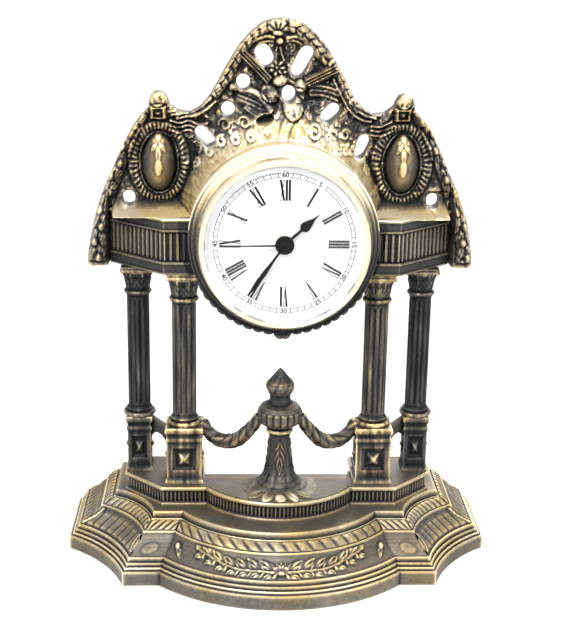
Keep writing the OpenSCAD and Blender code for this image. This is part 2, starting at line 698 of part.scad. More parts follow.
module train_bridge() {
    color("gainsboro") in_insert() difference() {
        slab(bridge_front, bridge_back) intersection() {
            rounded_box(case_w - 2.2, case_h - 2.2, 4.9);
            union() {
                translate([-22, -12.2]) square([26.7, 40]);
                translate([-22, -5]) square([44, 16.8]);
                translate([16, -5]) square([6, 21]);
            }
        }
        rod_y([0, 0], sec_r + run_gap, 9, 13, 32);
        rod_y(motion_xz, set_r + run_gap, 9, 13, 32);
        for (p = [third_xz, inter_xz, rotor_xz]) rod_y(p, pin_r + run_gap, 9, 13, 32);
    }
}
board_front = 4;
board_back = 4.8;
board_posts = [[-16, -18], [-2, -18.6]];
module circuit_board() {
    color("darkgreen") in_insert() union() {
        slab(board_front, board_back) translate([-18.4, -19.5]) square([29.4, 7.4]);
        slab(board_back - eps, board_back + 0.7) translate([-6, -17.6]) square([4.4, 4.4]);
    }
}
module quartz_can() {
    color("silver") in_insert() translate([-16, board_back + 1, -15.6]) rotate([0, 90, 0])
        cylinder(r = 1, h = 6, $fn = 32);
}
coil_z = 16.2;
coil_y = 7.2;
coil_x0 = -4.4;
coil_x1 = 15;
module coil_bobbin() {
    color("ivory") in_insert() translate([0, coil_y, coil_z]) difference() {
        union() {
            translate([coil_x0, 0, 0]) rotate([0, 90, 0]) cylinder(r = 1.9, h = coil_x1 - coil_x0, $fn = 32);
            for (x = [coil_x0, coil_x1 - 0.8]) translate([x, 0, 0]) rotate([0, 90, 0])
                cylinder(r = 3.1, h = 0.8);
        }
        translate([coil_x0 - 1, -0.5, -1.1]) cube([coil_x1 - coil_x0 + 2, 1, 2.2]);
    }
}
module coil_winding() {
    color("brown") in_insert() translate([coil_x0 + 0.85, coil_y, coil_z]) rotate([0, 90, 0]) difference() {
        cylinder(r = 2.8, h = coil_x1 - coil_x0 - 1.7);
        translate([0, 0, -1]) cylinder(r = 1.92, h = coil_x1 - coil_x0 + 2);
    }
}
module coil_core() {
    color("silver") in_insert() translate([coil_x0 - 3, coil_y - 0.4, coil_z - 1])
        cube([coil_x1 - coil_x0 + 6, 0.8, 2]);
}
stator_t = 0.8;
rotor_r = 1.6;
module stator() {
    gap = 0.4;
    z0 = third_xz[1] + t_third * third_m / 2 + 0.9;
    color("silver") in_insert() slab(coil_y + 0.4, coil_y + 0.4 + stator_t) difference() {
        union() {
            translate(rotor_xz) circle(r = rotor_r + gap + 2);
            translate([rotor_xz[0], z0 - 1.6]) square([coil_x1 + 3 - rotor_xz[0], 2.2]);
            translate([coil_x1 + 0.7, z0 - 1.6]) square([2.3, coil_z + 2.6 - z0]);
            translate([rotor_xz[0], coil_z - 1]) square([coil_x0 - 0.6 - rotor_xz[0], 2]);
        }
        translate(rotor_xz) circle(r = rotor_r + gap);
        translate(rotor_xz) rotate(40) translate([-10, -0.35]) square([10, 0.7]);
    }
}
third_m = 2 * third_a / (t_third + t_sec_pinion);
centre_m = 2 * third_a / (t_centre + t_third_pinion);
sec_m = 2 * inter_a / (t_sec + t_inter_pinion);
inter_m = 2 * rotor_a / (t_inter + t_rotor_pinion);
cannon_m = 2 * motion_a / (t_cannon + t_motion);
hour_m = 2 * motion_a / (t_hour + t_motion_pinion);
// The angle of a follower's first tooth when the driver has a tooth towards it at the angle a
function meshed(a, n) = a + 180 + 180 / n;
module rotor() {
    color("dimgray") in_insert() {
        difference() {
            rod_y(rotor_xz, rotor_r, coil_y - 0.6, coil_y + 1.4);
            rod_y(rotor_xz, pin_r + 0.02, 0, 12, 32);
        }
        wheel(rotor_xz, t_rotor_pinion, inter_m, 300, coil_y + 1.45, coil_y + 2.8, pin_r);
    }
}
module rotor_arbor() {
    color("silver") in_insert() rod_y(rotor_xz, pin_r, middle_front + 0.1, bridge_back - 0.1, 32);
}
module intermediate_wheel() {
    color("white") in_insert() union() {
        wheel(inter_xz, t_inter, inter_m, meshed(300, t_inter), 8.7, 9.5, pin_r);
        wheel(inter_xz, t_inter_pinion, sec_m, 330, 6.8, 8.71, pin_r);
    }
}
module intermediate_arbor() {
    color("silver") in_insert() rod_y(inter_xz, pin_r, middle_front + 0.1, bridge_back - 0.1, 32);
}
module seconds_wheel() {
    color("white") in_insert() union() {
        wheel([0, 0], t_sec, sec_m, meshed(330, t_sec), 7, 7.8, sec_r);
        wheel([0, 0], t_sec_pinion, third_m, 10, 5.2, 7.01, sec_r);
    }
}
module seconds_arbor() {
    color("silver") in_insert() rod_y([0, 0], sec_r, second_hand_y, bridge_back - 0.1, 32);
}
module third_wheel() {
    color("white") in_insert() union() {
        wheel(third_xz, t_third, third_m, meshed(10, t_third), 5.4, 6.2, pin_r);
        wheel(third_xz, t_third_pinion, centre_m, 190, 3.6, 5.41, pin_r);
    }
}
module third_arbor() {
    color("silver") in_insert() rod_y(third_xz, pin_r, middle_front + 0.1, bridge_back - 0.1, 32);
}
module centre_wheel() {
    color("white") in_insert() wheel([0, 0], t_centre, centre_m, meshed(190, t_centre), 3.8, 4.6, tube_r);
}
module cannon_pinion() {
    color("white") in_insert() wheel([0, 0], t_cannon, cannon_m, 210, 0.3, 1.9, tube_r);
}
module minute_tube() {
    color("gold") in_insert() difference() {
        rod_y([0, 0], tube_r, minute_hand_y, case_split);
        rod_y([0, 0], sec_r + run_gap, minute_hand_y - 1, case_split + 1, 32);
    }
}
module motion_wheel() {
    color("white") in_insert() union() {
        wheel(motion_xz, t_motion, cannon_m, meshed(210, t_motion), 0.6, 1.4, set_r);
        wheel(motion_xz, t_motion_pinion, hour_m, 30, -1.4, 0.61, set_r);
    }
}
module motion_arbor() {
    color("silver") in_insert() rod_y(motion_xz, set_r, front_plate_back - 0.4, knob_front + 0.8, 32);
}
module hour_wheel() {
    color("white") in_insert() wheel([0, 0], t_hour, hour_m, meshed(30, t_hour), -1.1, -0.3, hour_tube_r);
}
module hour_tube() {
    color("ivory") in_insert() difference() {
        rod_y([0, 0], hour_tube_r, hour_hand_y, 0);
        rod_y([0, 0], tube_r + run_gap, hour_hand_y - 1, 1);
    }
}
knob_r = 4.5;
knob_front = cup_back + 0.5;
knob_t = 3.4;
module setting_knob() {
    color("black") in_insert() translate([motion_xz[0], 0, motion_xz[1]]) difference() {
        slab(knob_front, knob_front + knob_t) difference() {
            circle(r = knob_r);
            for (i = [0:17]) rotate(20 * i) translate([knob_r + 0.1, 0]) circle(r = 0.4, $fn = 16);
        }
        rod_y([0, 0], set_r + 0.02, knob_front - 1, knob_front + 0.82, 32);
    }
}

cover_r = 7.4;
module battery() {
    back = rear_front + 0.3;
    color("silver") in_insert() union() {
        rod_y(cell_xz, cell_r, back - cell_t + 0.4, back);
        rod_y(cell_xz, cell_r - 1.2, back - cell_t, back - cell_t + 0.5);
    }
}
module battery_cover() {
    color("dimgray") in_insert() difference() {
        union() {
            rod_y(cell_xz, cover_r, rear_back + 0.1, cup_back + 0.2);
            translate([cell_xz[0], 0, cell_xz[1]])
                translate([-cover_r - 0.8, rear_back + 0.1, -1]) cube([2 * cover_r + 1.6, 0.6, 2]);
        }
        translate([cell_xz[0] - 5, cup_back - 0.6, cell_xz[1] - 0.6]) cube([10, 2, 1.2]);
    }
}
module contact_negative() {
    top = rear_front + 0.3 - cell_t;
    color("gold") in_insert() union() {
        slab(top - 0.35, top - 0.02) {
            translate(cell_xz) circle(r = 3.4);
            translate([cell_xz[0] - 5, cell_xz[1] - 4]) square([4, 2.4]);
        }
        translate([cell_xz[0] - 5, board_back, cell_xz[1] - 4]) cube([1.2, top - 0.3 - board_back, 2.4]);
    }
}
module contact_positive() {
    x1 = cell_xz[0] - cell_r - 0.02;
    color("gold") in_insert() translate([x1 - 0.3, board_back, cell_xz[1] - 1.6])
        cube([0.3, rear_front - board_back - 1, 1.9]);
}

base_casting();
platform_casting();
inner_column_left();
inner_column_right();
outer_column_left();
outer_column_right();
side_rail_left();
side_rail_right();
urn();
swag_left();
swag_right();
head_casting();
crest_casting();
tie_rods();
tie_washers();
tie_nuts();
crest_screws();
insert_cup();
rubber_ring();
bezel();
crystal();
spacer_ring();
dial();
fixing_nut();
hour_hand();
minute_hand();
second_hand();
movement_front();
movement_rear();
middle_plate();
train_bridge();
circuit_board();
quartz_can();
coil_bobbin();
coil_winding();
coil_core();
stator();
rotor();
rotor_arbor();
intermediate_wheel();
intermediate_arbor();
seconds_wheel();
seconds_arbor();
third_wheel();
third_arbor();
centre_wheel();
cannon_pinion();
minute_tube();
motion_wheel();
motion_arbor();
hour_wheel();
hour_tube();
setting_knob();
battery();
battery_cover();
contact_positive();
contact_negative();
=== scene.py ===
import json
import math
import bmesh
import bpy
import numpy as np
from mathutils import Matrix, Vector
from mathutils.geometry import tessellate_polygon


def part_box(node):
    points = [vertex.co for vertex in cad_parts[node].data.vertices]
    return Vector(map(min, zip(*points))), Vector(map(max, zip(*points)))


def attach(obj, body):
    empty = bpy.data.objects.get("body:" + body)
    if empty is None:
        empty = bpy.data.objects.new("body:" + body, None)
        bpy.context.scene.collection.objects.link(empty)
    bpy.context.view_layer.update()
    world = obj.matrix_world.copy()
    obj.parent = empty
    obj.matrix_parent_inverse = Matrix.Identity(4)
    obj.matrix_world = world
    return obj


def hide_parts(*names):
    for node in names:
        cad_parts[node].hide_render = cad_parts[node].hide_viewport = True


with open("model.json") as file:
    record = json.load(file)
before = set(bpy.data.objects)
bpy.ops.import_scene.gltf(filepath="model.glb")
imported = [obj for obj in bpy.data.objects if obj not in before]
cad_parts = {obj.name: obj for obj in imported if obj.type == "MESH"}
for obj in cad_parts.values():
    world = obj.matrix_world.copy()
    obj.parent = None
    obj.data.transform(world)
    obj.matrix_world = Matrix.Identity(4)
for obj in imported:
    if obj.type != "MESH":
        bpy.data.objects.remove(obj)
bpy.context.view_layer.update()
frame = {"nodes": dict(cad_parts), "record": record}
MM = 0.001
PI = math.pi
TURN = 2 * PI
rng = np.random.default_rng(7)


def link(name, data):
    """A new object with the given data, in the scene."""
    obj = bpy.data.objects.new(name, data)
    bpy.context.collection.objects.link(obj)
    return obj


# camera
CAM_AZIMUTH, CAM_ELEVATION, CAM_ROLL = map(math.radians, (2.41, 16.74, 1.0))
CAM_DISTANCE, CAM_LENS, CAM_SENSOR = 522.44, 74.08, 36
CAM_TARGET = Vector((0.0, -33.75, 120.99))


def add_camera():
    back = Vector((-math.sin(CAM_AZIMUTH) * math.cos(CAM_ELEVATION),
                   -math.cos(CAM_AZIMUTH) * math.cos(CAM_ELEVATION), math.sin(CAM_ELEVATION)))
    side = Vector((math.cos(CAM_AZIMUTH), -math.sin(CAM_AZIMUTH), 0.0))
    up = side.cross(-back)
    right = side * math.cos(CAM_ROLL) + up * math.sin(CAM_ROLL)
    top = up * math.cos(CAM_ROLL) - side * math.sin(CAM_ROLL)
    cam = link("camera", bpy.data.cameras.new("camera"))
    turn = Matrix((right, top, back)).transposed().to_4x4()
    cam.matrix_world = Matrix.Translation((CAM_TARGET + back * CAM_DISTANCE) * MM) @ turn
    cam.data.lens = CAM_LENS
    cam.data.sensor_width = CAM_SENSOR
    cam.data.clip_start = 0.01
    bpy.context.scene.camera = cam


# mesh helpers
def smoothstep(a, b, x):
    t = np.clip((x - a) / (b - a), 0, 1)
    return t * t * (3 - 2 * t)


def dome(q):
    """Height of a unit dome where q is the distance from its middle, 1 and more at and past its rim."""
    return np.sqrt(np.clip(1 - q * q, 0, None))


def way_along(points):
    """Distance along a line of points at each of them."""
    return np.concatenate([[0], np.cumsum(np.linalg.norm(np.diff(points, axis=0), axis=1))])


def unit(vectors):
    return vectors / np.linalg.norm(vectors, axis=1, keepdims=True)


def resample(points, step):
    """Points along a polyline, about step apart, with its corners kept."""
    points = np.asarray(points, float)
    out = [points[:1]]
    for a, b in zip(points[:-1], points[1:]):
        n = max(1, int(round(np.linalg.norm(b - a) / step)))
        out.append(a + (b - a) * np.linspace(0, 1, n + 1)[1:, None])
    return np.concatenate(out)


def curve_through(points, step):
    """A smooth line through the points (Catmull-Rom), sampled about step apart."""
    p = np.asarray(points, float)
    p = np.vstack([2 * p[0] - p[1], p, 2 * p[-1] - p[-2]])
    out = []
    for a, b, c, d in zip(p[:-3], p[1:-2], p[2:-1], p[3:]):
        n = max(2, int(np.linalg.norm(c - b) / step))
        t = np.linspace(0, 1, n, endpoint=False)[:, None]
        out.append(0.5 * (2 * b + (c - a) * t + (2 * a - 5 * b + 4 * c - d) * t ** 2
                          + (3 * b - a - 3 * c + d) * t ** 3))
    return np.vstack(out + [p[-2:-1]])


def grid_normals(p):
    """Unit normals of a grid of points, rows along the first axis."""
    n = np.cross(np.gradient(p, axis=1), np.gradient(p, axis=0))
    return n / np.maximum(np.linalg.norm(n, axis=-1, keepdims=True), 1e-9)


def cells(idx):
    """The four corners of each cell of a grid of indices."""
    return np.stack([idx[:-1, :-1], idx[:-1, 1:], idx[1:, 1:], idx[1:, :-1]], -1).reshape(-1, 4)


def welded(v, fine):
    """The first point at each place, and each point's place, with the points rounded to 1 / fine."""
    places = np.round(v * fine).astype(np.int64)
    _, first, back = np.unique(places, axis=0, return_index=True, return_inverse=True)
    return first, back.ravel()


def at_height(points, z):
    """Points in a plan, put at a height."""
    return np.column_stack([points, np.full(len(points), z)])


def points_of(mesh):
    """A mesh's points in millimetres."""
    co = np.empty(len(mesh.vertices) * 3)
    mesh.vertices.foreach_get("co", co)
    return co.reshape(-1, 3) / MM


def store(mesh, name, values):
    mesh.attributes.new(name, "FLOAT", "POINT").data.foreach_set("value", values.astype(np.float32))


class Shell:
    """Collects patches of points in millimetres and makes one mesh of them."""

    def __init__(self):
        self.verts, self.quads, self.tris, self.count = [], [], [], 0

    def grid(self, p, wrap=False):
        rows, cols = p.shape[:2]
        idx = np.arange(rows * cols).reshape(rows, cols)
        if wrap:
            idx = np.hstack([idx, idx[:, :1]])
        self.add(p.reshape(-1, 3), cells(idx))

    def cap(self, *loops):
        tris = tessellate_polygon([[Vector(q) for q in loop] for loop in loops])
        self.add(np.vstack(loops), tris=tris)

    def tube(self, p):
        """A grid of rings, closed at both ends."""
        self.grid(p, wrap=True)
        self.cap(p[0])
        self.cap(p[-1])

    def add(self, verts, quads=(), tris=()):
        for faces, kept, size in ((quads, self.quads, 4), (tris, self.tris, 3)):
            if len(faces):
                kept.append(np.asarray(faces, np.int64).reshape(-1, size) + self.count)
        self.verts.append(np.asarray(verts, float))
        self.count += len(verts)

    def merged(self):
        """Points and faces with doubles welded and collapsed faces dropped."""
        v = np.vstack(self.verts)
        first, back = welded(v, 1000)
        quads = back[np.vstack(self.quads)]
        tris = [back[np.vstack(self.tris)]] if self.tris else []
        same = quads == np.roll(quads, -1, axis=1)
        for k in range(4):
            flat = quads[same[:, k] & (same.sum(1) == 1)]
            tris.append(np.delete(flat, k, axis=1))
        quads = quads[(same.sum(1) == 0) & (quads[:, 0] != quads[:, 2]) & (quads[:, 1] != quads[:, 3])]
        tris = np.vstack(tris)
        keep = (tris[:, 0] != tris[:, 1]) & (tris[:, 1] != tris[:, 2]) & (tris[:, 0] != tris[:, 2])
        return v[first], quads, tris[keep]

    def build(self, name, material, nodes=(), body="housing", slot="bronze_cast", sharp=40, rub=None):
        v, quads, tris = self.merged()
        mesh = bpy.data.meshes.new(name)
        mesh.vertices.add(len(v))
        mesh.vertices.foreach_set("co", (v * MM).ravel())
        corners = np.concatenate([quads.ravel(), tris.ravel()])
        starts = np.concatenate([np.arange(len(quads)) * 4, len(quads) * 4 + np.arange(len(tris)) * 3])
        mesh.loops.add(len(corners))
        mesh.loops.foreach_set("vertex_index", corners)
        mesh.polygons.add(len(starts))
        mesh.polygons.foreach_set("loop_start", starts)
        mesh.update(calc_edges=True)
        mesh.validate()
        solid = bmesh.new()
        solid.from_mesh(mesh)
        bmesh.ops.recalc_face_normals(solid, faces=solid.faces)
        solid.to_mesh(mesh)
        solid.free()
        mesh.polygons.foreach_set("use_smooth", np.ones(len(mesh.polygons), bool))
        mesh.set_sharp_from_angle(angle=math.radians(sharp))
        obj = link(name, mesh)
        mesh.materials.append(material)
        add_wear(mesh, rub)
        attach(obj, body)
        if nodes:
            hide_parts(*nodes)
        return obj


# how far a point stands out for almost full wear, and the longest edge that counts as ornament
WEAR_REACH = 0.42
LONG_EDGE = 2.6


def add_wear(mesh, rub=None):
    """Stores on each vertex how far it stands out of its surroundings, from -1 to 1, as changed by the given
    function, which on some pieces adds painted highlights and painted shade.
    """
    n = len(mesh.vertices)
    co = points_of(mesh)
    nor = np.empty(n * 3)
    mesh.vertex_normals.foreach_get("vector", nor)
    nor = nor.reshape(-1, 3)
    edges = np.empty(len(mesh.edges) * 2, np.int64)
    mesh.edges.foreach_get("vertices", edges)
    edges = edges.reshape(-1, 2)
    far_apart = np.linalg.norm(co[edges[:, 0]] - co[edges[:, 1]], axis=1) > LONG_EDGE
    still = np.zeros(n, bool)
    still[edges[far_apart].ravel()] = True
    a, b = edges[~far_apart].T
    degree = np.bincount(a, minlength=n) + np.bincount(b, minlength=n)

    def relax(f, turns):
        for _ in range(turns):
            s = np.stack([np.bincount(a, g[b], n) + np.bincount(b, g[a], n) for g in f.T], 1)
            f = np.where(degree[:, None] > 0, 0.4 * f + 0.6 * s / np.maximum(degree, 1)[:, None], f)
        return f

    near = relax(co, 3)
    far = relax(near, 16)
    stand = ((co - near) * nor).sum(1) * 2.4 + ((near - far) * nor).sum(1) * 0.55
    stand = relax(stand[:, None], 1)[:, 0]
    wear_and_painted_light = np.where(still, 0, np.tanh(stand / WEAR_REACH))
    store(mesh, "wear_and_painted_light", rub(co, wear_and_painted_light) if rub else wear_and_painted_light)


# materials
def fill(tree, node, **inputs):
    """Sets a node's inputs by name, with _ for a space: a socket is linked, a number or colour is written."""
    for name, value in inputs.items():
        socket = node.inputs[name.replace("_", " ")]
        if hasattr(value, "is_linked"):
            tree.links.new(value, socket)
        else:
            socket.default_value = value


def add_node(tree, kind, **inputs):
    """The first output of a new node."""
    node = tree.nodes.new(kind)
    fill(tree, node, **inputs)
    return node.outputs[0]


def nodes_of(name):
    mat = bpy.data.materials.new(name)
    mat.use_nodes = True
    tree = mat.node_tree
    return mat, tree, tree.nodes["Principled BSDF"]


def noise(tree, scale, detail=4, rough=0.55, stretch=None):
    place = tree.nodes.new("ShaderNodeTexCoord").outputs["Object"]
    if stretch:
        place = add_node(tree, "ShaderNodeMapping", Vector=place, Scale=stretch)
    return add_node(tree, "ShaderNodeTexNoise", Vector=place, Scale=scale, Detail=detail, Roughness=rough)


def stored(tree, name):
    node = tree.nodes.new("ShaderNodeAttribute")
    node.attribute_name = name
    return node.outputs["Fac"]


def math_node(tree, kind, a, b, c=None, clamp=False):
    node = tree.nodes.new("ShaderNodeMath")
    node.operation = kind
    node.use_clamp = clamp
    for socket, value in zip(node.inputs, (a, b, c)):
        if hasattr(value, "is_linked"):
            tree.links.new(value, socket)
        elif value is not None:
            socket.default_value = value
    return node.outputs[0]


def vary(tree, level, spread, amount, clamp=False):
    """Moves a level up and down by a noise around one half."""
    return math_node(tree, "MULTIPLY_ADD", math_node(tree, "SUBTRACT", spread, 0.5), amount, level, clamp)


def ramp(tree, fac, stops):
    node = tree.nodes.new("ShaderNodeValToRGB")
    node.color_ramp.elements.remove(node.color_ramp.elements[1])
    for k, (pos, col) in enumerate(stops):
        e = node.color_ramp.elements[0] if k == 0 else node.color_ramp.elements.new(pos)
        e.position = pos
        e.color = (*col, 1)
    fill(tree, node, Fac=fac)
    return node.outputs["Color"]


def add_bump(tree, shader, height, strength, distance):
    bump = add_node(tree, "ShaderNodeBump", Height=height, Strength=strength, Distance=distance)
    fill(tree, shader, Normal=bump)


def mix_shaders(tree, fac, first, second):
    """Shows the first shader where fac is 0 and the second where it is 1."""
    mix = tree.nodes.new("ShaderNodeMixShader")
    for socket, value in zip(mix.inputs, (fac, first, second)):
        tree.links.new(value, socket)
    fill(tree, tree.nodes["Material Output"], Surface=mix.outputs[0])


PATINA_DARKS = [(0.0, (0.006, 0.006, 0.0065)), (0.20, (0.019, 0.018, 0.0185)), (0.38, (0.058, 0.053, 0.050))]
PATINA_GREY = [(0.52, (0.136, 0.121, 0.103)), (0.64, (0.29, 0.247, 0.180)), (0.77, (0.57, 0.475, 0.31)),
               (1.0, (0.90, 0.83, 0.68))]
PATINA_GOLD = [(0.52, (0.134, 0.108, 0.073)), (0.64, (0.28, 0.210, 0.100)), (0.77, (0.56, 0.415, 0.185)),
               (1.0, (0.90, 0.78, 0.50))]
UPRIGHT = (1, 1, 0.09)
UNEVEN = 0.26


def patina(name, middle, gain=0.46, streak=0.0, warmth=0.0):
    """Cast metal: dark in the recesses, rubbed to pale gold on the edges; the stored level it reads also
    holds painted highlights and painted shade on some pieces. Middle is the faces' place on the ramp, gain
    how strongly the edges show, streak the strength of upright rub marks, warmth what is added to the share
    of gold."""
    mat, tree, bsdf = nodes_of(name)
    fine = noise(tree, 700, 6, 0.7)
    level = math_node(tree, "MULTIPLY_ADD", stored(tree, "wear_and_painted_light"), gain, middle)
    if streak:
        level = vary(tree, level, noise(tree, 480, 4, 0.5, UPRIGHT), streak)
    level = vary(tree, level, noise(tree, 60, 5), UNEVEN)
    level = vary(tree, level, fine, UNEVEN, clamp=True)
    patches = ramp(tree, noise(tree, 42, 3), [(0.42, (0, 0, 0)), (0.60, (1, 1, 1))])
    tone = tree.nodes.new("ShaderNodeMix")
    tone.data_type = "RGBA"
    gilt = math_node(tree, "ADD", stored(tree, "gilt"), warmth)
    fill(tree, tone, Factor=math_node(tree, "ADD", patches, gilt, clamp=True),
         A=ramp(tree, level, PATINA_DARKS + PATINA_GREY), B=ramp(tree, level, PATINA_DARKS + PATINA_GOLD))
    rough = math_node(tree, "MULTIPLY_ADD", level, -0.26, 0.58)
    fill(tree, bsdf, Base_Color=tone.outputs["Result"], Metallic=0.65,
         Roughness=math_node(tree, "MULTIPLY_ADD", fine, 0.10, rough))
    add_bump(tree, bsdf, math_node(tree, "MULTIPLY_ADD", noise(tree, 1500, 4, 0.7), 0.5, fine), 0.35, 0.00018)
    return mat


def plain(name, color, metallic=0.0, roughness=0.4, grain=0.0, scale=900, vary=0.12, shine=0.5):
    """One colour with a slight speckle, and a bump as deep as grain in metres."""
    mat, tree, bsdf = nodes_of(name)
    speck = noise(tree, scale, 4)
    dark = tuple(c * (1 - vary) for c in color)
    light = tuple(min(1, c * (1 + vary)) for c in color)
    fill(tree, bsdf, Base_Color=ramp(tree, speck, [(0.3, dark), (0.7, light)]), Metallic=metallic,
         Roughness=math_node(tree, "MULTIPLY_ADD", speck, 0.14, roughness - 0.07), Specular_IOR_Level=shine)
    if grain:
        add_bump(tree, bsdf, speck, 0.4, grain)
    return mat


def glass():
    mat, tree, bsdf = nodes_of("crystal_glass")
    fill(tree, bsdf, Base_Color=(1, 1, 1, 1), Roughness=0.0, IOR=1.45, Transmission_Weight=1.0)
    path = tree.nodes.new("ShaderNodeLightPath").outputs
    unseen = math_node(tree, "MAXIMUM", path["Is Shadow Ray"], path["Is Diffuse Ray"])
    clear = add_node(tree, "ShaderNodeBsdfTransparent")
    mix_shaders(tree, math_node(tree, "MAXIMUM", unseen, 0.9), bsdf.outputs[0], clear)
    return mat


def set_material(node, mat):
    obj = frame["nodes"][node]
    if not obj.material_slots:
        obj.data.materials.append(mat)
    for s in obj.material_slots:
        s.material = mat


# light and floor, in metres
LAMPS = {"key": ((-0.35, -0.80, 0.80), 0.35, 13), "fill": ((0.80, -0.60, 0.35), 0.6, 4),
         "top": ((0.05, 0.05, 1.10), 0.5, 8), "rear": ((0.30, 0.90, 0.60), 0.6, 5)}
LAMP_TARGET = Vector((0, 0, 0.12))
WORLD_UNSEEN, WORLD_SEEN = 0.55, 1.0
FLOOR_HALF, FLOOR_Z, FLOOR_GLOW = 30.0, -2e-5, 1.13


def seen_rays(tree):
    """1 for the rays that see the background itself: from the camera, a mirror or glass."""
    path = tree.nodes.new("ShaderNodeLightPath").outputs
    bounced = math_node(tree, "MAXIMUM", path["Is Glossy Ray"], path["Is Transmission Ray"])
    return math_node(tree, "MAXIMUM", path["Is Camera Ray"], bounced)


def studio():
    for name, (place, size, power) in LAMPS.items():
        lamp = bpy.data.lights.new(name, "AREA")
        lamp.shape = "DISK"
        lamp.size = size
        lamp.energy = power
        obj = link(name, lamp)
        obj.location = place
        obj.rotation_euler = (LAMP_TARGET - Vector(place)).to_track_quat("-Z", "Y").to_euler()
    world = bpy.data.worlds.new("world")
    bpy.context.scene.world = world
    world.use_nodes = True
    tree = world.node_tree
    strength = math_node(tree, "MULTIPLY_ADD", seen_rays(tree), WORLD_SEEN - WORLD_UNSEEN, WORLD_UNSEEN)
    fill(tree, tree.nodes["Background"], Color=(1, 1, 1, 1), Strength=strength)
    mat, tree, bsdf = nodes_of("floor")
    fill(tree, bsdf, Base_Color=(0.92, 0.92, 0.92, 1), Roughness=0.8)
    glow = add_node(tree, "ShaderNodeEmission", Strength=FLOOR_GLOW)
    mix_shaders(tree, math_node(tree, "MULTIPLY", seen_rays(tree), 0.8), bsdf.outputs[0], glow)
    mesh = bpy.data.meshes.new("floor")
    corners = [(x * FLOOR_HALF, y * FLOOR_HALF, FLOOR_Z) for x, y in ((-1, -1), (1, -1), (1, 1), (-1, 1))]
    mesh.from_pydata(corners, [], [(0, 1, 2, 3)])
    mesh.materials.append(mat)
    floor = link("floor", mesh)


# sizes, in mm; inset d is how far a moulding's point lies inside the plan's outline
BOX = {name: [np.array(c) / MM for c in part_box(name)] for name in frame["nodes"]}
BASE_HALF_W, BASE_HALF_D = BOX["base_casting"][1][:2]
PLAT_TOP = BOX["platform_casting"][1][2]
ENT_BOTTOM = BOX["inner_column_left"][1][2]
ENT_H = 24.2
ENT_TOP = ENT_BOTTOM + ENT_H
FACE_Y = BOX["bezel"][1][1]
DIAL_Z = (BOX["dial"][0][2] + BOX["dial"][1][2]) / 2
DIAL_FACE = BOX["dial"][0][1]
DRUM_R, BORE_R = 38.0, 33.0
HEAD_BACK, CREST_Y = 30.95, 31.0
CREST_BACK = BOX["crest_casting"][1][1]
FLAT_Y, FLAT_IN, FLAT_OUT = -27.1, 51.5, 67.2
CORNER_Y, CORNER_SAG = 8.5, 3.8
NOTCH_W, NOTCH_Y = 37.0, 34.5
URN_Y = 2.6


def line(p, q, n):
    t = np.linspace(0, 1, n + 1)[:, None]
    return np.array(p, float) * (1 - t) + np.array(q, float) * t


def arc(p, q, sag, n):
    """n + 1 points on the arc from p to q that bulges by sag to the left."""
    p, q = np.array(p, float), np.array(q, float)
    half = np.linalg.norm(q - p) / 2
    r = (half ** 2 + sag ** 2) / (2 * sag)
    left = np.array([-(q - p)[1], (q - p)[0]]) / (2 * half)
    mid = (p + q) / 2 + left * (sag - r)
    start = math.atan2(*(p - mid)[::-1])
    a = start - 2 * math.asin(half / r) * np.linspace(0, 1, n + 1)
    return mid + r * np.stack([np.cos(a), np.sin(a)], -1)


def bow_arc(half, end_y, tip_y, d, n):
    """A bowed front at an inset d: its ends are at half to each side and at end_y, its tip at tip_y."""
    sag = end_y - tip_y
    r = (half ** 2 + sag ** 2) / (2 * sag)
    middle = tip_y + r
    turn = math.acos((middle - (end_y + d)) / (r - d))
    a = np.linspace(-turn, turn, n)
    return np.stack([(r - d) * np.sin(a), middle - (r - d) * np.cos(a)], -1)


def all_round(bow, right, back_name, back_end, n):
    """A plan's named patches all the way round, from its bow and the patches of its right half."""
    left = [(name, p[::-1] * [-1, 1]) for name, p in reversed(right)]
    return [("bow", bow)] + right + [(back_name, line(back_end, left[0][1][0], n))] + left


# ornament patterns
def fade(u, lo, hi, soft=1.2):
    return smoothstep(lo, lo + soft, u) * smoothstep(hi, hi - soft, u)


def from_whole(k):
    """Twice the distance to the nearest whole number."""
    return 2 * np.abs(k - np.round(k))


def scales(k):
    """A row of overlapping leaves, one for each unit of k."""
    return dome(np.abs(k - np.floor(k) - 0.5) * 2)


def rope(u, v, pitch, lean):
    """Twisted strands: u along the rope, v from 0 to 1 across it."""
    strand = 1 - from_whole(u / pitch + lean * (v - 0.5))
    return np.sqrt(np.clip(4 * v * (1 - v), 0, 1)) * (0.25 + 0.75 * np.sqrt(np.clip(1.5 * strand, 0, 1)))


def leaf(x, y, length, width, veins=3.0):
    """A pointed leaf from the origin along +x, with a midrib and slanting veins."""
    t = x / length
    w = width * np.sin(PI * np.clip(t, 0, 1) ** 0.75) + 1e-6
    q = np.abs(y) / w
    body = dome(q) * ((t > 0) & (t < 1))
    vein = 0.72 + 0.28 * np.cos(TURN * veins * (t - 0.35 * q))
    return body * vein * (1 - 0.45 * np.exp(-(y / (0.18 * width)) ** 2))


def turned(x, y, x0, y0, angle):
    """Coordinates measured from (x0, y0) along a direction."""
    c, s = math.cos(angle), math.sin(angle)
    dx, dy = x - x0, y - y0
    return dx * c + dy * s, dy * c - dx * s


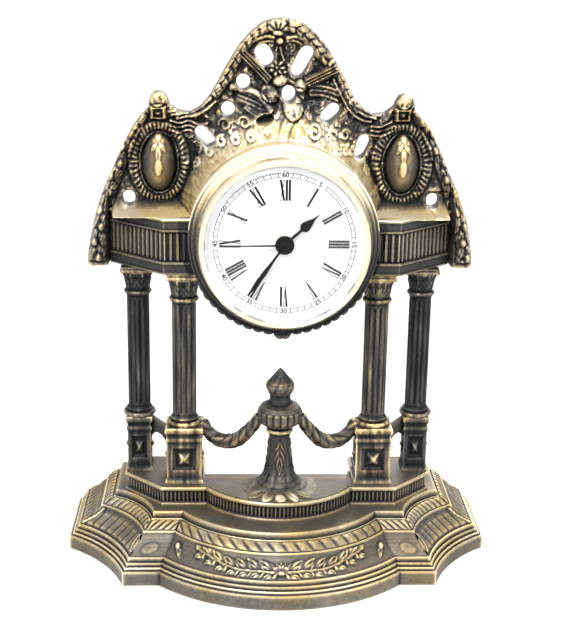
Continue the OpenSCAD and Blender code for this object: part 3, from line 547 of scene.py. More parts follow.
def spray_relief(u, v):
    """Two leafy sprays that meet in the middle of the bow's cove: v from 0 below to 1 above."""
    x, y = np.abs(u), (v - 0.5) * 10.5

    def stem(at):
        return -1.6 + 0.0042 * at ** 2 + 0.5 * np.sin(at / 4.0)

    h = 0.8 * dome((y - stem(x)) / 0.8) * (x > 1) * (x < 38)
    for k in range(7):
        at, size = 1.5 + 5.3 * k, 1 - 0.03 * k
        for lean, length, width in ((0.62, 9.6, 2.5), (-0.50, 7.8, 2.1)):
            a, b = turned(x, y, at, stem(at), lean)
            h = np.maximum(h, 1.15 * leaf(a, b, length * size, width * size, 2.0))
    for lean in (0.75, 1.2, 1.57):
        a, b = turned(x, y, 0, -1.8, lean)
        h = np.maximum(h, 1.2 * leaf(a, b, 5.6, 1.5, 2.0))
    return np.maximum(h, 1.4 * dome(np.hypot(x / 1.9, (y + 1.8) / 1.3)))


def blade_relief(u, v, length, pitch, lean):
    """Row of curved blades that fans over a cove."""
    phase = u / pitch + lean * np.clip(v - 0.1, 0, None) ** 1.7
    saw = phase - np.floor(phase)
    body = np.sqrt(np.clip(4 * saw * (1 - saw), 0, 1)) * (0.55 + 0.45 * saw)
    return 0.95 * body * smoothstep(0, 0.16, v) * smoothstep(1, 0.80, v) * fade(u, 0, length)


def flutes(spacing, depth, soft):
    """Upright flutes in a frieze, the band between the insets 1.1 and 1.3."""
    def relief(name, u, length, d):
        saw = from_whole(u / (length / np.round(length / spacing)))
        cut = -depth * np.sqrt(np.clip(1 - (1 - saw) ** 2 / 0.42, 0, 1))
        return np.where((d > 1.1) & (d < 1.3), cut, 0) * fade(u, 0, length, soft)
    return relief


def sweep_plan(shell, plan, profile, names, relief):
    """Skins a plan that changes with the inset, patch by patch; the named patches get the relief."""
    levels = [plan(d) for d, _ in profile]
    for k, (name, first) in enumerate(levels[0]):
        p = np.stack([at_height(level[k][1], z) for level, (_, z) in zip(levels, profile)])
        if name in names:
            step = np.linalg.norm(np.diff(p[..., :2], axis=1), axis=-1)
            u = np.hstack([np.zeros((len(p), 1)), np.cumsum(step, axis=1)])
            length = u[:, -1:].copy()
            if first[:, 0].mean() < -1:
                u = length - u
            height = relief(name, u, length, np.broadcast_to(profile[:, :1], u.shape))
            p = p + grid_normals(p) * height[..., None]
        shell.grid(p)
    return levels


def loop_of(level, z):
    return at_height(np.vstack([p[:-1] for _, p in level]), z)


# base; a plan's profile is (inset, z)
BASE_PROFILE = resample([
    (0.0, 0.0), (0.0, 5.5), (0.25, 6.05), (0.8, 6.2), (1.05, 5.95), (1.35, 6.3), (1.35, 7.1), (1.65, 7.5),
    (2.1, 7.45), (2.35, 7.2), (2.6, 7.6), (2.6, 8.5), (2.85, 9.05), (3.3, 9.1), (3.5, 8.9), (3.7, 9.4),
    (3.75, 10.5), (4.0, 11.1), (4.5, 11.2), (4.9, 11.0), (6.0, 11.6), (7.6, 12.4), (9.3, 13.3),
    (10.9, 14.4), (12.2, 15.7), (13.1, 17.0), (13.5, 17.7), (13.7, 18.4), (14.1, 18.8), (14.6, 18.7),
    (14.9, 18.3), (15.4, 18.7), (17.3, 20.1), (18.8, 21.3), (19.1, 21.2), (19.3, 21.7), (19.6, 22.1),
    (20.0, 21.9), (20.2, 21.8), (20.4, 22.3), (20.4, 23.9), (20.6, 24.5), (21.0, 24.9), (21.6, 24.9),
    (22.8, 24.9)], 0.36)
BASE_WALL = 4.0
BASE_HOLLOW = resample([
    (BASE_WALL, 0.0), (4.3, 1.0), (5.0, 7.0), (11.0, 12.0), (18.0, 17.6), (20.0, 17.6)], 2.4)
COVE_IN, COVE_OUT = 4.9, 13.4
ROPE_IN, ROPE_OUT = 15.0, 19.0


def base_plan(d, back=0.0):
    """The base's plan at an inset d; back is how much thinner its back is."""
    bow = bow_arc(FLAT_IN, FLAT_Y, -BASE_HALF_D, d, 250)
    out = (FLAT_OUT - 0.6 * d, FLAT_Y + d)
    side = (BASE_HALF_W - d, CORNER_Y + 0.42 * d)
    end = (BASE_HALF_W - d, BASE_HALF_D - back)
    nook = [(NOTCH_W + back, BASE_HALF_D - back), (NOTCH_W + back, NOTCH_Y - back)]
    right = [("flat", line(bow[-1], out, 36)), ("corner", arc(out, side, CORNER_SAG, 96)),
             ("side", line(side, end, 80)), ("back", line(end, nook[0], 30)), ("nook", line(*nook, 8))]
    return all_round(bow, right, "gap", nook[1], 42)


def base_relief(name, u, length, d):
    v = (d - COVE_IN) / (COVE_OUT - COVE_IN)
    w = (d - ROPE_IN) / (ROPE_OUT - ROPE_IN)
    cove = (v > 0) & (v < 1)
    mid = u - length / 2
    lean, pitch = 0.9, 3.1
    h = np.zeros_like(u)
    if name == "bow":
        pitch = 5.5
        h = np.where(cove, spray_relief(mid, v) * fade(mid, -43, 43, 3), 0)
        end, up = length / 2 - 4.6, (v - 0.72) * 9.5
        for s in (-1, 1):
            h = np.maximum(h, 1.4 * dome(np.hypot(mid - s * end, up) / 1.5))
            a, b = turned(s * mid, up, end, 0, -2.2)
            h = np.maximum(h, 0.8 * leaf(a, b, 6.0, 1.4, 2.0))
    elif name == "corner":
        bracket = np.hypot(u - 0.2, (v - 0.55) * 9) - 3.4
        edge = length - u - 0.6 - 1.8 * v
        h = np.maximum.reduce([h, blade_relief(u, v, length, 4.4, 0.9), 1.1 * dome(bracket / 0.7),
                               1.2 * dome(edge / 0.8)]) * cove
    elif name == "side":
        pitch, lean = 3.6, 0.0
        h = np.where(cove, blade_relief(u, v, length, 4.2, -0.8), 0)
    elif name == "flat":
        h = np.where(cove, 0.45 * dome(np.hypot((mid - 1.0) / 3.6, (v - 0.45) / 0.3)), 0)
    twist = 1.05 * rope(u, np.clip(w, 0, 1), pitch, lean) * fade(u, 0, length)
    return np.maximum(h, np.where((w > 0) & (w < 1), twist, 0))


def build_base(mat):
    shell = Shell()
    levels = sweep_plan(shell, base_plan, BASE_PROFILE, ("bow", "flat", "corner", "side"), base_relief)
    shell.cap(loop_of(levels[-1], BASE_PROFILE[-1, 1]))
    rings = [loop_of(levels[0], 0.0)] + [loop_of(base_plan(d, BASE_WALL), z) for d, z in BASE_HOLLOW]
    shell.grid(np.stack(rings), wrap=True)
    shell.cap(rings[-1])
    return shell.build("base_ornament", mat, ["base_casting"])


# platform
PLAT_PROFILE = resample([
    (1.4, 24.9), (0.0, 24.9), (-0.1, 25.5), (0.3, 26.0), (0.9, 26.1), (1.15, 26.5), (1.15, 31.0),
    (0.9, 31.4), (0.2, 31.6), (-0.15, 32.1), (-0.2, 32.8), (0.15, 33.3), (0.8, 33.4), (1.3, 33.15),
    (1.8, 33.4), (3.2, 33.4)], 0.3)
PAD_IN, PAD_OUT, PAD_TIP = 31.9, 51.5, 16.85
WING_X, WING_Y, PLAT_BACK = 68.6, 17.4, 36.0
GAP_X, GAP_Y = 33.4, 11.0
FRIEZE_LOW, FRIEZE_HIGH = 26.3, 31.2
UPPER_EDGE, LOBE_TIP_Y = 31.5, -14.6
# leaf lobes at the urn's foot: x, y, turn in degrees, half width, reach to the front and height
LOBES = (
    (0, -13.4, 0, 2.4, 2.5, 2.2), (-4.9, -10.6, -26, 2.3, 5.3, 1.7), (4.9, -10.6, 26, 2.3, 5.3, 1.7),
    (-9.8, -8.2, -50, 2.1, 5.0, 1.2), (9.8, -8.2, 50, 2.1, 5.0, 1.2))


def plat_plan(d):
    bow = bow_arc(PAD_IN, 0.0, -PAD_TIP, d, 200)
    wing = [(PAD_OUT - 0.41 * d, d), (WING_X - d, WING_Y + 0.41 * d)]
    back = [(WING_X - d, PLAT_BACK - d), (GAP_X + d, PLAT_BACK - d), (GAP_X + d, GAP_Y - d)]
    right = [("pad", line(bow[-1], wing[0], 60)), ("wing", line(*wing, 76)),
             ("end", line(wing[1], back[0], 40)), ("rear", line(*back[:2], 60)),
             ("inner", line(*back[1:], 40))]
    return all_round(bow, right, "mid", back[2], 90)


def build_platform(mat):
    shell = Shell()
    fluted = ("bow", "pad", "wing", "end")
    levels = sweep_plan(shell, plat_plan, PLAT_PROFILE, fluted, flutes(1.75, 0.62, 0.8))
    for end in (0, -1):
        shell.cap(loop_of(levels[end], PLAT_PROFILE[end, 1]))
    a, b = np.meshgrid(np.linspace(0, TURN, 48, endpoint=False), np.linspace(0.0, PI, 28))
    fold = 1 + 0.10 * np.cos(3 * a)
    for x, y, turn, half, reach, high in LOBES:
        c, s = math.cos(math.radians(turn)), math.sin(math.radians(turn))
        across, along = half * np.sin(b) * np.cos(a) * fold, -reach * np.cos(b)
        up = PLAT_TOP + 0.3 + high * np.sin(b) * np.sin(a) * fold
        shell.grid(np.stack([x + across * c - along * s, y + across * s + along * c, up], -1), wrap=True)

    def rub(v, wear_and_painted_light):
        x, y, z = v.T
        # The top face is painted lighter, partly painted light from above and partly rubbing; the lobes' tips
        # and the upper edge lighter, the frieze darker.
        top = z > PLAT_TOP - 0.2
        tips = np.exp(-((y - LOBE_TIP_Y) / 2.4) ** 2) * (np.abs(x) < 9) * (z > PLAT_TOP + 0.3)
        edge = (z > UPPER_EDGE) * ~top
        return wear_and_painted_light + 0.22 * top + 0.5 * tips + 0.24 * edge - 0.14 * (z > FRIEZE_LOW) * (z < FRIEZE_HIGH)
    return shell.build("platform_ornament", mat, ["platform_casting"], rub=rub)


# turned and square forms
def block_loops(levels, n):
    """Square rings about the Z axis: levels are (half width, z), n points to a side."""
    rings = []
    for h, z in levels:
        c = [(-h, -h), (h, -h), (h, h), (-h, h), (-h, -h)]
        ring = np.vstack([line(a, b, n)[:-1] for a, b in zip(c[:-1], c[1:])])
        rings.append(at_height(ring, z))
    return np.stack(rings)


def revolve(profile, n, radius=None):
    """Points of a turned form about Z from (radius, z); radius may change each point's radius."""
    a = np.linspace(0, TURN, n, endpoint=False)
    r, z = (np.broadcast_to(profile[:, [k]], (len(profile), n)) for k in (0, 1))
    if radius is not None:
        r = radius(r, a[None, :], z)
    return np.stack([r * np.cos(a), r * np.sin(a), z], -1)


def about_dial(profile, n, radius=None):
    """The same about the dial's axis, from (radius, y); angles run clockwise from twelve."""
    return revolve(profile, n, radius)[..., [1, 2, 0]] + [0, 0, DIAL_Z]


# columns: the pedestal's points are moves from (its half width, the platform's top), the foot's from (the
# shaft's radius, the pedestal's top) and the bell's from (the shaft's radius, the capital's foot)
PEDESTAL_H, CAPITAL_H, ABACUS_H = 25.6, 12.4, 2.4
PEDESTAL_STEPS = [
    (0.4, 0.0), (0.3, 0.9), (-0.1, 1.6), (-0.35, 2.6), (-0.35, 18.6), (-0.1, 19.2), (0.1, 20.0),
    (0.0, 20.7), (-0.3, 21.2), (-0.35, 22.0), (-0.1, 22.8), (0.3, 23.5), (0.45, 24.2), (0.35, 25.0),
    (0.0, PEDESTAL_H)]
FOOT_STEPS = [
    (1.7, 0.0), (2.2, 0.7), (2.3, 1.3), (1.9, 2.0), (0.9, 2.3), (0.7, 2.7), (1.0, 3.2), (0.5, 3.8),
    (0.0, 4.6)]
BELL_STEPS = [
    (0.0, -1.2), (0.5, -0.4), (0.9, 0.0), (1.2, 0.6), (0.9, 1.3), (0.1, 1.7), (0.3, 4.5), (0.9, 7.4),
    (1.9, 9.6)]
PANEL_MID, PANEL_HALF_H = 11.0, 5.2
SHAFT_FLUTES, BELL_LEAVES = 12, 8


def column_shell(half, r, top):
    """Pedestal, shaft and capital about the Z axis, from the platform's top to the abacus."""
    shell = Shell()
    foot = PLAT_TOP + PEDESTAL_H
    steps = np.vstack([(0.0, PLAT_TOP), np.add(PEDESTAL_STEPS, (half, PLAT_TOP)), (0.0, foot)])
    rings = block_loops(resample(steps, 0.5), int(half * 4))
    x, y, z = rings[..., 0], rings[..., 1], rings[..., 2]
    flat, up = np.minimum(np.abs(x), np.abs(y)), np.abs(z - (PLAT_TOP + PANEL_MID))
    px, pz = 0.62 * half, PANEL_HALF_H
    inside = smoothstep(px + 0.25, px - 0.35, flat) * smoothstep(pz + 0.25, pz - 0.35, up)
    ledge = smoothstep(px - 0.9, px - 1.4, flat) * smoothstep(pz - 0.9, pz - 1.4, up)
    pyramid = np.clip(1 - np.maximum(flat / (0.6 * px), up / (0.6 * pz)), 0, 1)
    push = -0.55 * inside - 0.5 * ledge + 2.5 * pyramid
    on_x = np.abs(x) > np.abs(y)
    rings[..., 0] += np.where(on_x, np.sign(x) * push, 0)
    rings[..., 1] += np.where(on_x, 0, np.sign(y) * push)
    shell.grid(rings, wrap=True)
    cap, slab = top - CAPITAL_H, top - ABACUS_H
    prof = np.vstack([(0.0, foot), np.add(FOOT_STEPS, (r, foot)), np.add(BELL_STEPS, (r, cap)),
                      (r + 1.9, slab), (0.0, slab)])

    def carve(rad, a, z):
        shaft = smoothstep(foot + 5, foot + 7.4, z) * smoothstep(cap - 1.6, cap - 3.4, z)
        rad = rad - shaft * 0.6 * (1 - np.abs(np.cos(SHAFT_FLUTES / 2 * a)) ** 1.2)
        bell = smoothstep(cap + 1.5, cap + 2.2, z) * smoothstep(top - 2.5, top - 3.4, z)
        t = (z - cap - 1.6) / 8.2
        for shift, lo, hi, out in ((0.0, 0.0, 0.62, 0.5), (0.5, 0.15, 1.0, 0.65)):
            q = np.clip((t - lo) / (hi - lo), 0, 1)
            off = from_whole(a * BELL_LEAVES / TURN + shift)
            width = 0.92 * np.sin(PI * np.clip(q, 0.02, 0.98) ** 0.55) + 1e-3
            body = dome(off / width) * (t > lo) * (t < hi)
            rise = bell * out * body * (0.35 + 0.65 * q)
            rad = np.maximum(rad, rad + rise * (0.75 + 0.25 * np.cos(9 * off)))
        return rad

    shell.grid(revolve(resample(prof, 0.42), 144, carve), wrap=True)
    wide = r + 2.3
    abacus = [(0.0, slab), (wide - 0.5, slab), (wide, top - 1.9), (wide, top - 1.2), (wide - 0.3, top - 0.9),
              (wide - 0.3, top), (0.0, top)]
    shell.grid(block_loops(resample(abacus, 0.5), 24), wrap=True)
    return shell


def build_column(name, mat):
    lo, hi = BOX[name]
    shell = column_shell(*((5.5, 4.9) if name.startswith("outer") else (8.0, 5.2)), hi[2])
    shell.verts = [v + [(lo[0] + hi[0]) / 2, (lo[1] + hi[1]) / 2, 0] for v in shell.verts]
    return shell.build(name.replace("column", "column_ornament"), mat, [name])


def named(piece, side):
    return piece + ("_left" if side < 0 else "_right")


# rails: (x, y, z) of a rail's middle at the inner pedestal and at the outer one
RAIL_IN, RAIL_OUT = (49.2, 16.4, 53.7), (57.4, 24.4, 56.1)
RAIL_HALF, RAIL_HALF_H = 1.9, 2.6


def build_rail(side, mat):
    """Raking rail from the inner pedestal's side to the outer pedestal, with rounded edges."""
    t = np.linspace(0, 1, 14)[:, None]
    a = np.linspace(0, TURN, 28, endpoint=False)
    c, s = np.cos(a), np.sin(a)
    across = np.sign(c) * np.abs(c) ** 0.6 * RAIL_HALF
    flare = 1.2 + 5.0 * np.abs(2 * t - 1) ** 2.5
    upright = np.sign(s) * np.abs(s) ** 0.5 * np.where(s > 0, RAIL_HALF_H + 0 * t, RAIL_HALF_H + flare)
    x, y, z = (p + (q - p) * t for p, q in zip(RAIL_IN, RAIL_OUT))
    shell = Shell()
    shell.tube(np.stack([side * (x + 0 * a), y + across, z + upright], -1))
    name = named("side_rail", side)
    return shell.build(name + "_ornament", mat, [name])


# urn and garlands; the urn's profile is (radius, height over the platform)
URN_PROFILE = [
    (0, -1.0), (19.4, -1.0), (17.6, -0.25), (15.0, 0.4), (12.2, 1.2), (9.8, 2.5), (8.0, 4.4), (6.6, 7.0),
    (5.6, 10.4), (5.0, 14), (4.6, 18), (4.5, 23.5), (4.8, 25.2), (5.5, 25.8), (5.9, 26.5), (5.6, 27.3),
    (4.9, 27.8), (5.2, 28.4), (7.0, 29.1), (8.6, 30.3), (9.3, 31.8), (9.5, 33.6), (9.4, 35.6),
    (9.0, 36.8), (8.2, 37.9), (6.8, 38.7), (5.4, 39.3), (4.7, 40.2), (4.4, 41.6), (4.5, 42.8),
    (5.2, 44.0), (5.9, 45.6), (6.1, 47.2), (5.5, 48.8), (4.2, 50.2), (2.9, 51.6), (1.9, 53.0),
    (1.0, 54.2), (0, 55)]
FOOT_BACK = 10.6
SWAG_IN, SWAG_OUT, SWAG_Y, SWAG_LOW = 8.6, 34.8, 12.0, 10.6
SWAG_URN, SWAG_PEDESTAL = 33, 26.2


def build_urn(mat):
    def carve(r, a, z):
        t = z - PLAT_TOP
        bowl = smoothstep(29.6, 31, t) * smoothstep(36.6, 35.4, t)
        r = r + bowl * 0.65 * (np.abs(np.cos(9 * a)) ** 0.8 - 0.5)
        flame = smoothstep(42.6, 44.5, t) * smoothstep(54.8, 51, t)
        r = r + flame * 0.55 * np.abs(np.cos(3.5 * a - 0.30 * (t - 43))) - flame * 0.3
        for k in range(4):
            off = (a + PI / 2 - k * PI / 2 + PI) % TURN - PI
            r = r + 0.9 * leaf(22.5 - t, off * 5.0, 15.0, 2.6, 4.0) * (r > 3)
        swirl = np.abs(np.cos(5 * a + 0.16 * r)) ** 0.8
        return r + 0.5 * smoothstep(0.5, 1.6, t) * smoothstep(11, 6, t) * (swirl - 0.5)

    urn = revolve(resample(np.add(URN_PROFILE, (0, PLAT_TOP)), 0.36), 224, carve) + [0, URN_Y, 0]
    spread = urn[..., 2] < PLAT_TOP + 8
    urn[..., 1] = np.where(spread, np.minimum(urn[..., 1], FOOT_BACK), urn[..., 1])
    shell = Shell()
    shell.grid(urn, wrap=True)
    # The foot is painted lighter toward the platform, to meet the platform's top, whose lighter tone is
    # partly painted light.
    return shell.build("urn_ornament", mat, ["urn"],
                       rub=lambda v, wear_and_painted_light: wear_and_painted_light + 0.27 * smoothstep(PLAT_TOP + 7, PLAT_TOP + 0.5, v[:, 2]))


def build_swag(side, mat):
    """Garland of leaves from the inner pedestal's cap down to the urn."""
    t = np.linspace(0, 1, 100)
    ends = ((SWAG_IN, URN_Y, PLAT_TOP + SWAG_URN), (SWAG_OUT, SWAG_Y, PLAT_TOP + SWAG_PEDESTAL))
    path = np.stack([p + (q - p) * t for p, q in zip(*ends)], -1)
    path[:, 2] -= 4 * SWAG_LOW * t * (1 - t)
    tangent = unit(np.gradient(path, axis=0))
    out = unit(np.cross(tangent, [0, 1, 0]))
    front = np.cross(out, tangent)
    s = way_along(path)[:, None]
    a = np.linspace(0, TURN, 64, endpoint=False)[None, :]
    r = 2.3 + 1.0 * np.sin(PI * t)[:, None] + 1.0 * smoothstep(0.86, 1.0, t)[:, None]
    leaves = scales(s / 4.6 + 0.34 * np.cos(2 * a + 0.7))
    r = r * (0.88 + 0.15 * leaves) * (1 + 0.06 * np.cos(5 * a + 0.5 * s))
    ring = np.cos(a)[..., None] * out[:, None] + 0.9 * np.sin(a)[..., None] * front[:, None]
    shell = Shell()
    shell.tube((path[:, None] + r[..., None] * ring) * [side, 1, 1])
    name = named("swag", side)
    return shell.build(name + "_ornament", mat, [name])


# head: the entablature's points are (inset, height from its foot or its top), the lip's (radius, depth)
ENT_FRONT, ENT_WING, ENT_BREAK = 5.85, 74.2, (50.2, 27.4)
ENT_LOW = [
    (2.6, 0.0), (0.6, 0.0), (0.1, 0.25), (0.0, 0.8), (0.35, 1.15), (0.35, 4.3), (0.0, 4.6), (0.0, 5.1),
    (0.5, 5.5), (1.2, 5.7)]
ENT_HIGH = [
    (1.2, -6.0), (0.6, -5.7), (0.05, -5.4), (0.0, -4.9), (0.4, -4.5), (0.4, -1.5), (0.0, -1.2),
    (-0.15, -0.8), (-0.1, -0.4), (0.25, -0.05), (0.8, 0.0), (1.4, 0.0), (2.8, 0.0)]
LIP = [
    (BORE_R, 0.0), (36.9, 0.0), (37.6, 0.15), (38.0, 0.7), (38.1, 1.0), (38.8, 1.25), (39.25, 1.9),
    (39.3, 2.7), (39.0, 3.5), (38.3, 4.0), (DRUM_R, 4.3), (DRUM_R, 13)]
WREATH_R = 37.4


def ent_plan(d):
    """The right half of the entablature, from the bore outward and back."""
    inner = BORE_R + 0.05
    p1, p2 = (ENT_BREAK[0] - 0.38 * d, ENT_FRONT + d), (ENT_WING - d, ENT_BREAK[1] + 0.45 * d)
    p0, p3, p4 = (inner, ENT_FRONT + d), (ENT_WING - d, HEAD_BACK), (inner, HEAD_BACK)
    return [("front", line(p0, p1, 64)), ("wing", line(p1, p2, 110)), ("end", line(p2, p3, 12)),
            ("rear", line(p3, p4, 20)), ("inner", line(p4, p0, 12))]


def build_head(mat):
    prof = resample(np.vstack([np.add(ENT_LOW, (0, ENT_BOTTOM)), np.add(ENT_HIGH, (0, ENT_TOP))]), 0.3)
    half, shell = Shell(), Shell()
    levels = sweep_plan(half, ent_plan, prof, ("front", "wing"), flutes(2.6, 0.75, 0.9))
    half.cap(loop_of(levels[0], ENT_BOTTOM))
    half.cap(loop_of(levels[-1], ENT_TOP))
    for side in (-1, 1):
        shell.add(np.vstack(half.verts) * [side, 1, 1], np.vstack(half.quads), np.vstack(half.tris))
    lip = resample(np.add(LIP, (0, FACE_Y)), 0.42)
    rest = [lip[-1], (DRUM_R, HEAD_BACK), (BORE_R, HEAD_BACK), (BORE_R, FACE_Y)]
    ring = np.vstack([lip, resample(rest, 1.3)[1:]])

    def wreath(r, a, y):
        low = smoothstep(PI * 0.63, PI * 0.70, a) * smoothstep(PI * 1.37, PI * 1.30, a)
        u, v = (a - PI) * DRUM_R, y - FACE_Y
        band = smoothstep(0.6, 1.6, v) * smoothstep(12.5, 10.5, v) * (r > WREATH_R)
        leaves = scales(np.abs(u) / 4.2 + 0.05 * v) * (0.55 + 0.45 * np.cos((v - 5.5) * 0.75) ** 2)
        boss = 2.2 * dome(np.hypot(u / 4.0, (v - 4.5) / 4.2)) * (r > WREATH_R)
        return r + low * band * 1.35 * leaves + boss

    shell.grid(about_dial(ring, 450, wreath), wrap=True)

    def rub(v, wear_and_painted_light):
        r = np.hypot(v[:, 0], v[:, 2] - DIAL_Z)
        # Painted highlight on the drum's top, painted shade on its lower part, painted highlight on the
        # entablature's top shelf.
        painted_drum_highlight = (r < 40) * smoothstep(DIAL_Z + 4, DIAL_Z + 28, v[:, 2])
        low = (r < 44) * smoothstep(DIAL_Z + 14, DIAL_Z - 10, v[:, 2])
        shelf = (v[:, 2] > ENT_TOP - 0.3) * (np.abs(v[:, 0]) > 29.9) * (r > 39 - 3 * (v[:, 1] > 5))
        return wear_and_painted_light + 0.95 * painted_drum_highlight - 0.5 * low + 1.05 * shelf
    return shell.build("head_ornament", mat, ["head_casting"], rub=rub)


# crest: a relief over a grid in the front view
CREST_X, CREST_Z = (-85.2, 85.2), (126.0, 235.0)
LOOSE_LEAVES = 520
FINIAL_Z, BLOCK_Z, CAP_Z = 199.6, 193.6, 196.6
EDGE_ROWS, CHAMFER = 8, 0.4
GRID = 0.4
EDGE_R = 1.5
MEDALLION_X, MEDALLION_Z = (-52.8, 52.2), 172.6
EGG_HALF, EGG_HALF_H = 7.2, 12.6
# leaves on a medallion's middle: angle, length and width
PALMETTE = ((-90, 11.5, 1.8), (-114, 7.5, 1.3), (-66, 7.5, 1.3), (-138, 4.0, 1.0), (-42, 4.0, 1.0))


class Relief:
    """Heights over a grid in the front view: ground holds the large forms, top the detail on them."""

    def __init__(self, x, z, step):
        self.x, self.z = np.arange(*x, step), np.arange(*z, step)
        self.X, self.Z = np.meshgrid(self.x, self.z)
        self.ground, self.top, self.smooth = (np.zeros_like(self.X) for _ in range(3))

    def window(self, x, z, reach):
        return (slice(*np.searchsorted(self.z, (z - reach, z + reach))),
                slice(*np.searchsorted(self.x, (x - reach, x + reach))))

    def stamp(self, x, z, reach, shape, angle=0.0):
        """Puts a shape given in coordinates turned by the angle in degrees on the top layer."""
        w = self.window(x, z, reach)
        u, v = turned(self.X[w], self.Z[w], x, z, math.radians(angle))
        self.top[w] = np.maximum(self.top[w], shape(u, v))

    def mound(self, x, z, rx, rz, height, angle=0.0, power=1.0):
        """A rounded swelling added to the ground."""
        w = self.window(x, z, max(rx, rz) * 1.05)
        u, v = turned(self.X[w], self.Z[w], x, z, math.radians(angle))
        self.ground[w] += height * dome(np.hypot(u / rx, v / rz)) ** power

    def along(self, points, reach, shape):
        """Puts a shape along a line; it gets the distance along, the offset to the left and the length."""
        pts = curve_through(points, 0.5)
        best = np.full(self.X.shape, float(reach * reach))
        near = np.full(self.X.shape, -1)
        for k, (x, z) in enumerate(pts):
            w = self.window(x, z, reach)
            d = (self.X[w] - x) ** 2 + (self.Z[w] - z) ** 2
            closer = d < best[w]
            best[w][closer] = d[closer]
            near[w][closer] = k
        on = near >= 0
        k = near[on]
        way = unit(np.gradient(pts, axis=0))
        total = way_along(pts)
        off = np.stack([self.X[on], self.Z[on]], -1) - pts[k]
        s = total[k] + (off * way[k]).sum(-1)
        d = way[k, 0] * off[:, 1] - way[k, 1] * off[:, 0]
        field = shape(s, d, total[-1]) * (s > -0.5) * (s < total[-1] + 0.5)
        self.top[on] = np.maximum(self.top[on], field)


def tube(half, height):
    return lambda s, d, n: height * dome(d / half) * fade(s, -0.4, n + 0.4, 1.2)


def strands(half, height, pitch):
    """A flat bundle of lines that run along the path, such as a wing's feathers."""
    return lambda s, d, n: (height * np.clip(1 - (d / half) ** 6, 0, 1) * fade(s, -0.4, n + 0.2, 1.0)
                            * (0.45 + 0.55 * np.abs(np.cos(PI * d / pitch)) ** 0.7))


def garland(half, height, pitch, buds=0.0):
    """Overlapping leaves along a path, with round buds on the middle every other leaf."""
    def shape(s, d, n):
        leaves = scales(s / pitch - 0.45 * np.abs(d) / half)
        body = height * dome(d / half) * (0.55 + 0.45 * dome(np.sqrt(1 - leaves ** 2)))
        body *= 1 - 0.22 * np.exp(-(d / 0.35) ** 2) - 0.07 * np.cos(5 * d + 1.4 * s)
        if buds:
            place = np.round(s / pitch)
            swing = 0.9 * np.cos(PI * place)
            off = (s / pitch - place) * pitch
            body = np.maximum(body, buds * dome(np.hypot(off / 2.5, (d - swing) / 1.8)))
        return body * fade(s, -0.4, n + 0.4, 1.5)
    return shape


def leaf_stamp(length, width, height, veins=3.0):
    return lambda u, v: height * leaf(u, v, length, width, veins)


def oval(rx, rz, height):
    return lambda u, v: height * dome(np.hypot(u / rx, v / rz))


def ringlet(radius, half, height):
    return lambda u, v: height * dome((np.hypot(u, v) - radius) / half)


def rosette(radius, height, petals):
    def shape(u, v):
        r, a = np.hypot(u, v) / radius, np.arctan2(v, u)
        swing = np.abs(np.cos(petals * a / 2))
        rim = 0.72 + 0.28 * swing
        body = dome(np.abs(r / rim - 0.58) / 0.42) * (0.5 + 0.5 * swing)
        return height * np.maximum(body * (r < rim), dome(r / 0.3))
    return shape


def scallop(u, v):
    """A small ribbed shell that opens upward."""
    rad, a = np.hypot(u * 1.1, v * 1.1), np.arctan2(v, u)
    ribs = np.abs(np.cos(5.5 * (a - PI / 2)))
    q = np.clip(rad / (5.6 + 0.5 * ribs), 0, 1)
    return 2.56 * q ** 0.6 * dome(q ** 3) * (0.5 + 0.5 * ribs) * (a > 0.15) * (a < PI - 0.15)


def block(u, v):
    """A square block with a sunk panel and a small pyramid in it."""
    u, w, v = np.abs(u), np.abs(v + 0.4), np.abs(v)
    body = 3.4 * np.clip(1 - np.maximum(u / 3.9, v / 3.1) ** 8, 0, 1)
    panel = 1.9 * (np.maximum(u / 2.1, v / 1.7) < 1)
    return body - panel + 1.4 * np.clip(1 - np.maximum(u / 1.5, w / 1.1), 0, 1)


def curl(x, z, radius, start, hand):
    """Points of a spiral that runs inward in a turn and a third."""
    turns = 1.35
    t = np.linspace(0, 1, int(14 * turns))
    a = math.radians(start) + hand * TURN * turns * t
    r = radius * (1 - 0.82 * t)
    return np.stack([x + r * np.cos(a), z + r * np.sin(a)], -1)


def shoulder(X, Z):
    """The casting rises in a hollow curve from the crest's plate to the drum."""
    turn = np.degrees(np.abs(np.arctan2(X, Z - DIAL_Z)))
    width = 19.5 - 11.0 * smoothstep(34, 58, turn)
    t = np.clip((np.hypot(X, Z - DIAL_Z) - DRUM_R) / width, 0, 1)
    return (26 - 4 * smoothstep(30, 60, turn)) * (1 - t) ** 1.5 * smoothstep(104, 92, turn)


def egg(u, v):
    """1 on a medallion's domed middle, 0 around it."""
    return smoothstep(1.05, 0.95, np.hypot(u / EGG_HALF, v / EGG_HALF_H))


